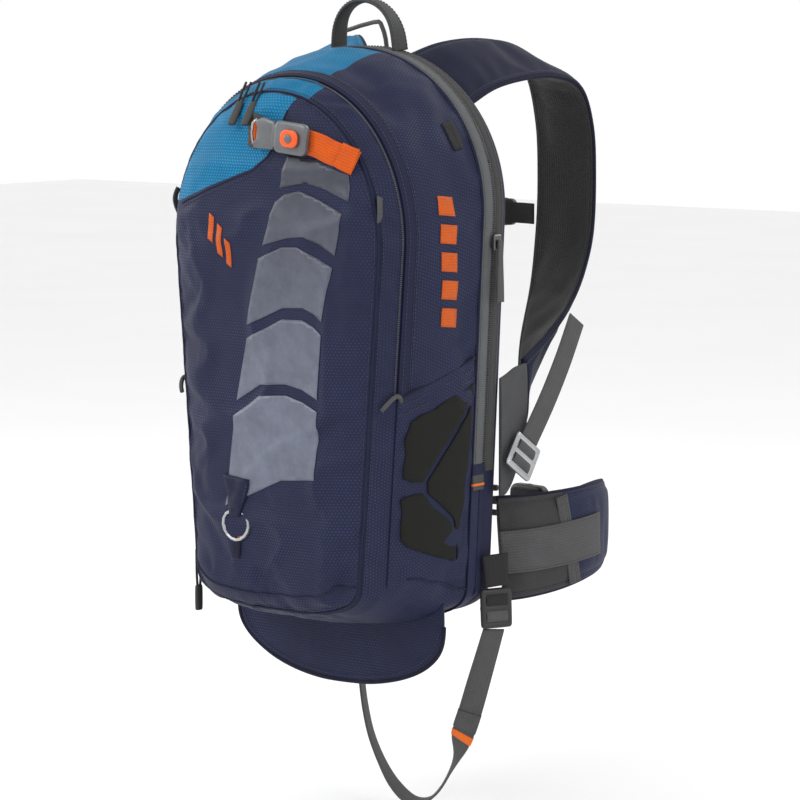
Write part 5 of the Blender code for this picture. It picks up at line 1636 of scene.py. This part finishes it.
# ---------------------------------------------------------------- Pocket zip and its cover
# A smooth rain cover is sewn over the pocket's zip, twice stitched, from one side to the other.
POCKET_ZIP_END = 0.219
zip_cover = edge_band("pocket_zip_cover", [(-0.0738, 0.0002), (-0.0750, 0.0022), (-0.0790, 0.0031),
                                           (-0.0850, 0.0031), (-0.0900, 0.0022),
                                           (-0.0912, 0.0006)], POCKET_ZIP_END, NAVY_SMOOTH)
refine(zip_cover)
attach(zip_cover, "pack_shell")
cover_tree = on_surface(zip_cover)
cover_steps = over_top(POCKET_ZIP_END)
for k, y in enumerate((-0.0768, -0.0795, -0.0878)):
    sewn_line(f"pocket_cover_stitch_{k}", [on_outline(i, y, 0.006) for i in cover_steps], cover_tree,
              NAVY_THREAD, body="pack_shell")
coil_rows = [(p, (0, 1, 0), from_middle(p)) for p, along in
             even_places([on_outline(i, -0.0925, 0.0004) for i in cover_steps], 0.0017)]
pocket_coil = many("pocket_zip_coil", coil_rows, *bead(0.0026, 0.0015, 0.0012), COIL)
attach(pocket_coil, "pack_shell")

# Two sliders' cord pulls, each a doubled cord in a moulded rubber end, lie over the top edge.
PULL_RUBBER = moulded("pull_rubber", (0.022, 0.022, 0.023), 0.5, 0.7)
slope = np.array((0, -0.56, -0.83)) / np.linalg.norm((0, -0.56, -0.83))
pull_out = np.array((0, -0.83, 0.56)) / np.linalg.norm((0, -0.83, 0.56))
for x, label, body in ((-0.016, "right", "pocket_pull_r"), (-0.032, "left", "pocket_pull_l")):
    hinge = np.array((x, -0.1105, 0.495))
    loop = []
    for k in range(17):
        t = k / 16
        swing = math.sin(math.pi * t)
        loop.append(hinge + slope * (0.026 * swing ** 0.6)
                    + np.array((0.0028 * math.cos(math.pi * t), 0, 0)) + pull_out * 0.0004)
    cord = cordage(f"pocket_pull_{label}_cord", loop, 0.0011, BLACK_WEBBING)
    end_rows = [(*(hinge + slope * d), 1, 0, 0, w) for d, w in
                ((0.0210, 0.0058), (0.0225, 0.0078), (0.0330, 0.0090), (0.0430, 0.0086),
                 (0.0448, 0.0066))]
    grip = strip(f"pocket_pull_{label}_end", end_rows, 0.0038, [PULL_RUBBER], 5, HAUL_PROFILE)
    refine(grip)
    for piece in (cord, grip):
        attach(piece, body)
    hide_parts(f"pocket_pull_{label}")

# ---------------------------------------------------------------- Tool strap and its buckle
# Orange webbing across the pocket's top, closed by a cast two-part hook buckle with a lever.
FACE_Y = -0.1283
ORANGE_WEBBING = webbing_weave("orange_webbing_weave", (0.60, 0.090, 0.008))
TOOL_Y, TOOL_WIDTH, TOOL_THICK = FACE_Y - 0.0015, 0.022, 0.0016
BUCKLE_GAP, BUCKLE_HALF_DEPTH = 0.0008, 0.004
tool_rows = [(-0.0110, TOOL_Y, 0.4520), (0.0300, TOOL_Y, 0.4480), (0.0620, TOOL_Y, 0.4420)]
tail, _ = snapped([(0.0760, -0.130, 0.4375), (0.0900, -0.126, 0.4325), (0.1010, -0.121, 0.4285)],
                  front_tree, 0.0040)
tool_rows += [tuple(p) for p in tail]
tool_strap = strip("tool_strap_woven", [(*r, 0, 0, 1, TOOL_WIDTH) for r in tool_rows], TOOL_THICK,
                   [ORANGE_WEBBING], 8)
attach(tool_strap, "front_pocket")
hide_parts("tool_strap")
fold_line, _ = snapped([(0.0850, -0.127, 0.4342), (0.0930, -0.125, 0.4314), (0.1000, -0.121, 0.4288)],
                       front_tree, 0.0062)
fold = strip("tool_strap_fold", [(*p, 0, 0, 1, 0.0224) for p in fold_line], 0.0022,
             [ORANGE_WEBBING], 4)
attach(fold, "front_pocket")
CAST_GREY = moulded("cast_grey", (0.135, 0.138, 0.145), 0.36, 0.5, 0.4)
buckle_y = TOOL_Y - TOOL_THICK / 2 - BUCKLE_GAP - BUCKLE_HALF_DEPTH
tilt = Matrix.Rotation(math.radians(6), 3, "Y")


def cast_plate(name, outline, depth, centre, finish, body):
    """A cast plate on the strap, its outline (x, z) turned with the strap's slope."""
    turned = [((tilt @ Vector((x, 0, z))).x, (tilt @ Vector((x, 0, z))).z) for x, z in outline]
    made = shell_block(name, turned, depth, finish, centre)
    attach(made, body)
    return made


main_plate = cast_plate("tool_buckle_body", rounded(0.037, 0.0285, 0.006), 0.0072,
                        (0.0385, buckle_y, 0.4473), CAST_GREY, "front_pocket")
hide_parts("tool_buckle")
hook = [(-0.012, -0.0140), (0.010, -0.0125), (0.013, -0.006), (0.013, 0.006), (0.010, 0.0125),
        (-0.004, 0.0145), (-0.012, 0.0110), (-0.0095, 0.0060), (-0.0095, -0.0060), (-0.0135, -0.0090)]
cast_plate("tool_buckle_hook", hook, 0.0058, (0.0088, buckle_y + 0.0004, 0.4504), CAST_GREY,
           "front_pocket")
cast_plate("tool_buckle_bridge", rounded(0.008, 0.020, 0.002), 0.0062,
           (0.0215, buckle_y + 0.0002, 0.4491), CAST_GREY, "front_pocket")
wire = [(-0.0055, 0.4420), (-0.0075, 0.4460), (-0.0080, 0.4520), (-0.0065, 0.4600), (-0.0015, 0.4635)]
rod = cordage("tool_buckle_wire", [(x, buckle_y + 0.0006, z) for x, z in wire], 0.0013, BRIGHT)
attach(rod, "front_pocket")
ORANGE_LEVER = moulded("orange_lever", (0.78, 0.10, 0.015), 0.35)
LEVER_X, LEVER_Z = 0.0405, 0.4472
lever = cast_plate("tool_lever_plate", rounded(0.0195, 0.0155, 0.0065), 0.0030,
                   (LEVER_X, buckle_y - 0.0062, LEVER_Z), ORANGE_LEVER, "tool_lever")
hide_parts("tool_buckle_lever")
dot_rings = []
for level, radius in ((0, 0.0040), (-0.0006, 0.0040), (-0.0011, 0.0034), (-0.0012, 0.0020)):
    dot_rings.append([(LEVER_X + radius * math.cos(2 * math.pi * k / 20), buckle_y - 0.0076 + level,
                       LEVER_Z + radius * math.sin(2 * math.pi * k / 20)) for k in range(20)])
dot = skin("tool_lever_dot", dot_rings, [[(k * 0.001, i * 0.001) for k in range(21)]
                                         for i in range(4)],
           [CAST_GREY], closed=True, capped=True)
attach(dot, "tool_lever")
keeper = [(-0.0175, 0.4395), (-0.0105, 0.4365), (0.0005, 0.4385), (0.0005, 0.4650),
          (-0.0090, 0.4690), (-0.0175, 0.4640)]
keeper_patch = laid_on("tool_strap_keeper_patch", keeper, front_tree, from_front, 0.0003, 0.0010,
                       WING_GREY, 0.004)
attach(keeper_patch, "front_pocket")

# ---------------------------------------------------------------- Gear loop on the lower front
# A steel ring in a folded navy tab, with a tape loop bar-tacked in orange hanging below it.
dress("d_ring", BRIGHT)
ring_tab = [(-0.0480, 0.1400), (-0.0145, 0.1380), (-0.0225, 0.1120), (-0.0250, 0.1030),
            (-0.0370, 0.1030), (-0.0400, 0.1120)]
tab = laid_on("d_ring_tab_cloth", ring_tab, front_tree, from_front, 0.0004, 0.0016, NAVY_SMOOTH,
              0.004)
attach(tab, "pack_shell")
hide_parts("d_ring_tab")
sewn_line("d_ring_tab_stitch", [(-0.0455, -0.134, 0.1378), (-0.0165, -0.134, 0.1360),
                                (-0.0240, -0.134, 0.1130)], on_surface(tab), NAVY_THREAD,
          body="pack_shell")
GEAR_X, TAPE_WIDTH = -0.0310, 0.0095
fold_rows = [(GEAR_X, FACE_Y - out, z, 1, 0, 0, w) for out, z, w in
             ((0.0022, 0.1100, 0.0085), (0.0060, 0.1105, 0.0080), (0.0069, 0.1070, 0.0080),
              (0.0045, 0.1040, 0.0080), (0.0018, 0.1035, 0.0085))]
fold = strip("d_ring_tab_fold", fold_rows, 0.0011, [BINDING], 6)
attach(fold, "pack_shell")
zip_low, zip_high = (np.array(corner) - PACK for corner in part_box("bottom_zip_pull"))
mid = (zip_low + zip_high) / 2
loop = []
for k in range(25):
    t = k / 24
    swing = math.sin(math.pi * t) ** 0.6
    loop.append((mid[0], mid[1] + 0.0030 * math.cos(math.pi * t), zip_high[2] - 0.040 * swing))
cord = cordage("bottom_pull_cord", loop, 0.0012, BLACK_WEBBING)
end_rows = [(mid[0], mid[1], zip_low[2] + d, 0, 1, 0, w) for d, w in
            ((0.0240, 0.0060), (0.0220, 0.0085), (0.0120, 0.0092), (0.0020, 0.0086), (0, 0.0066))]
grip = strip("bottom_pull_end", end_rows, 0.0040, [PULL_RUBBER], 5, HAUL_PROFILE)
refine(grip)
for piece in (cord, grip):
    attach(piece, "bottom_pull")
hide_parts("bottom_zip_pull")

# ---------------------------------------------------------------- Loops, tabs and marks
# Small webbing loops bar-tacked in the seams for a helmet net and skis, side tabs, and plain marks.
for label, side in (("right", 1), ("left", -1)):
    anchor, ways = snapped([(side * 0.1195, -0.1120, 0.3870)], front_tree, 0.0008)
    loop_rows = [(*(anchor[0] + ways[0] * h + np.array((0, 0, z))), 0, -1, 0, 0.0062) for z, h in
                 ((-0.0110, 0), (-0.0060, 0.0022), (0, 0.0034), (0.0060, 0.0022), (0.0110, 0))]
    net_loop = strip(f"net_loop_{label}", loop_rows, 0.0012, [GREY_WEBBING], 5)
    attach(net_loop, "front_pocket")
    x = side_half(0.212, share_at(-0.094)) - 0.001
    bow = [(side * (x + 0.0075 * math.sin(math.pi * t) ** 0.7), -0.0950 - 0.013 * (t - 0.5) * 2,
            0.2080 + 0.0125 * math.sin(math.pi * t) ** 0.8) for t in np.linspace(0, 1, 15)]
    cord_loop = cordage(f"ski_loop_{label}", bow, 0.0021, GREY_WEBBING)
    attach(cord_loop, "pack_shell")
    wrap_tree = on_surface(shell_wrap)
    lower_seam = [(-0.0910, 0.0440), (-0.0700, 0.0410), (-0.0450, 0.0370), (-0.0200, 0.0330),
                  (-0.0020, 0.0310)]
    route, _ = snapped([(side * 0.16, y, z) for y, z in smooth_rows(lower_seam, 6)], wrap_tree,
                       0.0003)
    seam = cordage(f"lower_seam_{label}", route, 0.0011, NAVY_SMOOTH)
    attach(seam, "pack_shell")
    side_tab = laid_on(f"side_tab_{label}", [(-0.0250, 0.4590), (-0.0120, 0.4610), (-0.0110, 0.4370),
                                             (-0.0240, 0.4350)], wrap_tree, from_side(side), 0.0003,
                       0.0012, BLACK_WEBBING, 0.003)
    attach(side_tab, "pack_shell")
    for k in range(5):
        z, y = 0.3860 - 0.0250 * k, -0.0455 + 0.0016 * k
        block = laid_on(f"side_mark_{label}_{k}", [(y - 0.0095, z + 0.0105), (y + 0.0095, z + 0.0085),
                                                   (y + 0.0095, z - 0.0085), (y - 0.0095, z - 0.0065)],
                        wrap_tree, from_side(side), 0.0004, 0.0002, ORANGE_PRINT, 0.003)
        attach(block, "pack_shell")
lower_front = [(-0.0960, 0.0520), (-0.0742, 0.0400), (-0.0400, 0.0330), (-0.0076, 0.0310),
               (0.0397, 0.0330), (0.0740, 0.0400), (0.0960, 0.0520)]
route, _ = snapped([(x, -0.128, z) for x, z in smooth_rows(lower_front, 8)], on_surface(front),
                   0.0003)
seam = cordage("lower_seam_front", route, 0.0011, NAVY_SMOOTH)
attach(seam, "pack_shell")
tape_rows = [(x, FACE_Y - out, z, 1, 0, 0, TAPE_WIDTH) for x, out, z in
             ((GEAR_X, 0.0016, 0.0840), (GEAR_X, 0.0036, 0.0780), (-0.0315, 0.0044, 0.0700),
              (-0.0320, 0.0030, 0.0640))]
tape_loop = strip("gear_tape_loop", tape_rows, 0.0022, [BINDING], 6)
gear_tack_rows = [(GEAR_X, FACE_Y - out, z, 1, 0, 0, TAPE_WIDTH + 0.001) for out, z in
                  ((0.0020, 0.0850), (0.0026, 0.0825))]
tape_tack = strip("gear_tape_tack", gear_tack_rows, 0.0030, [ORANGE_THREAD], 3)
for piece, slot in ((tape_loop, "navy_fabric"), (tape_tack, "orange_webbing")):
    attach(piece, "pack_shell")

low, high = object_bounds()
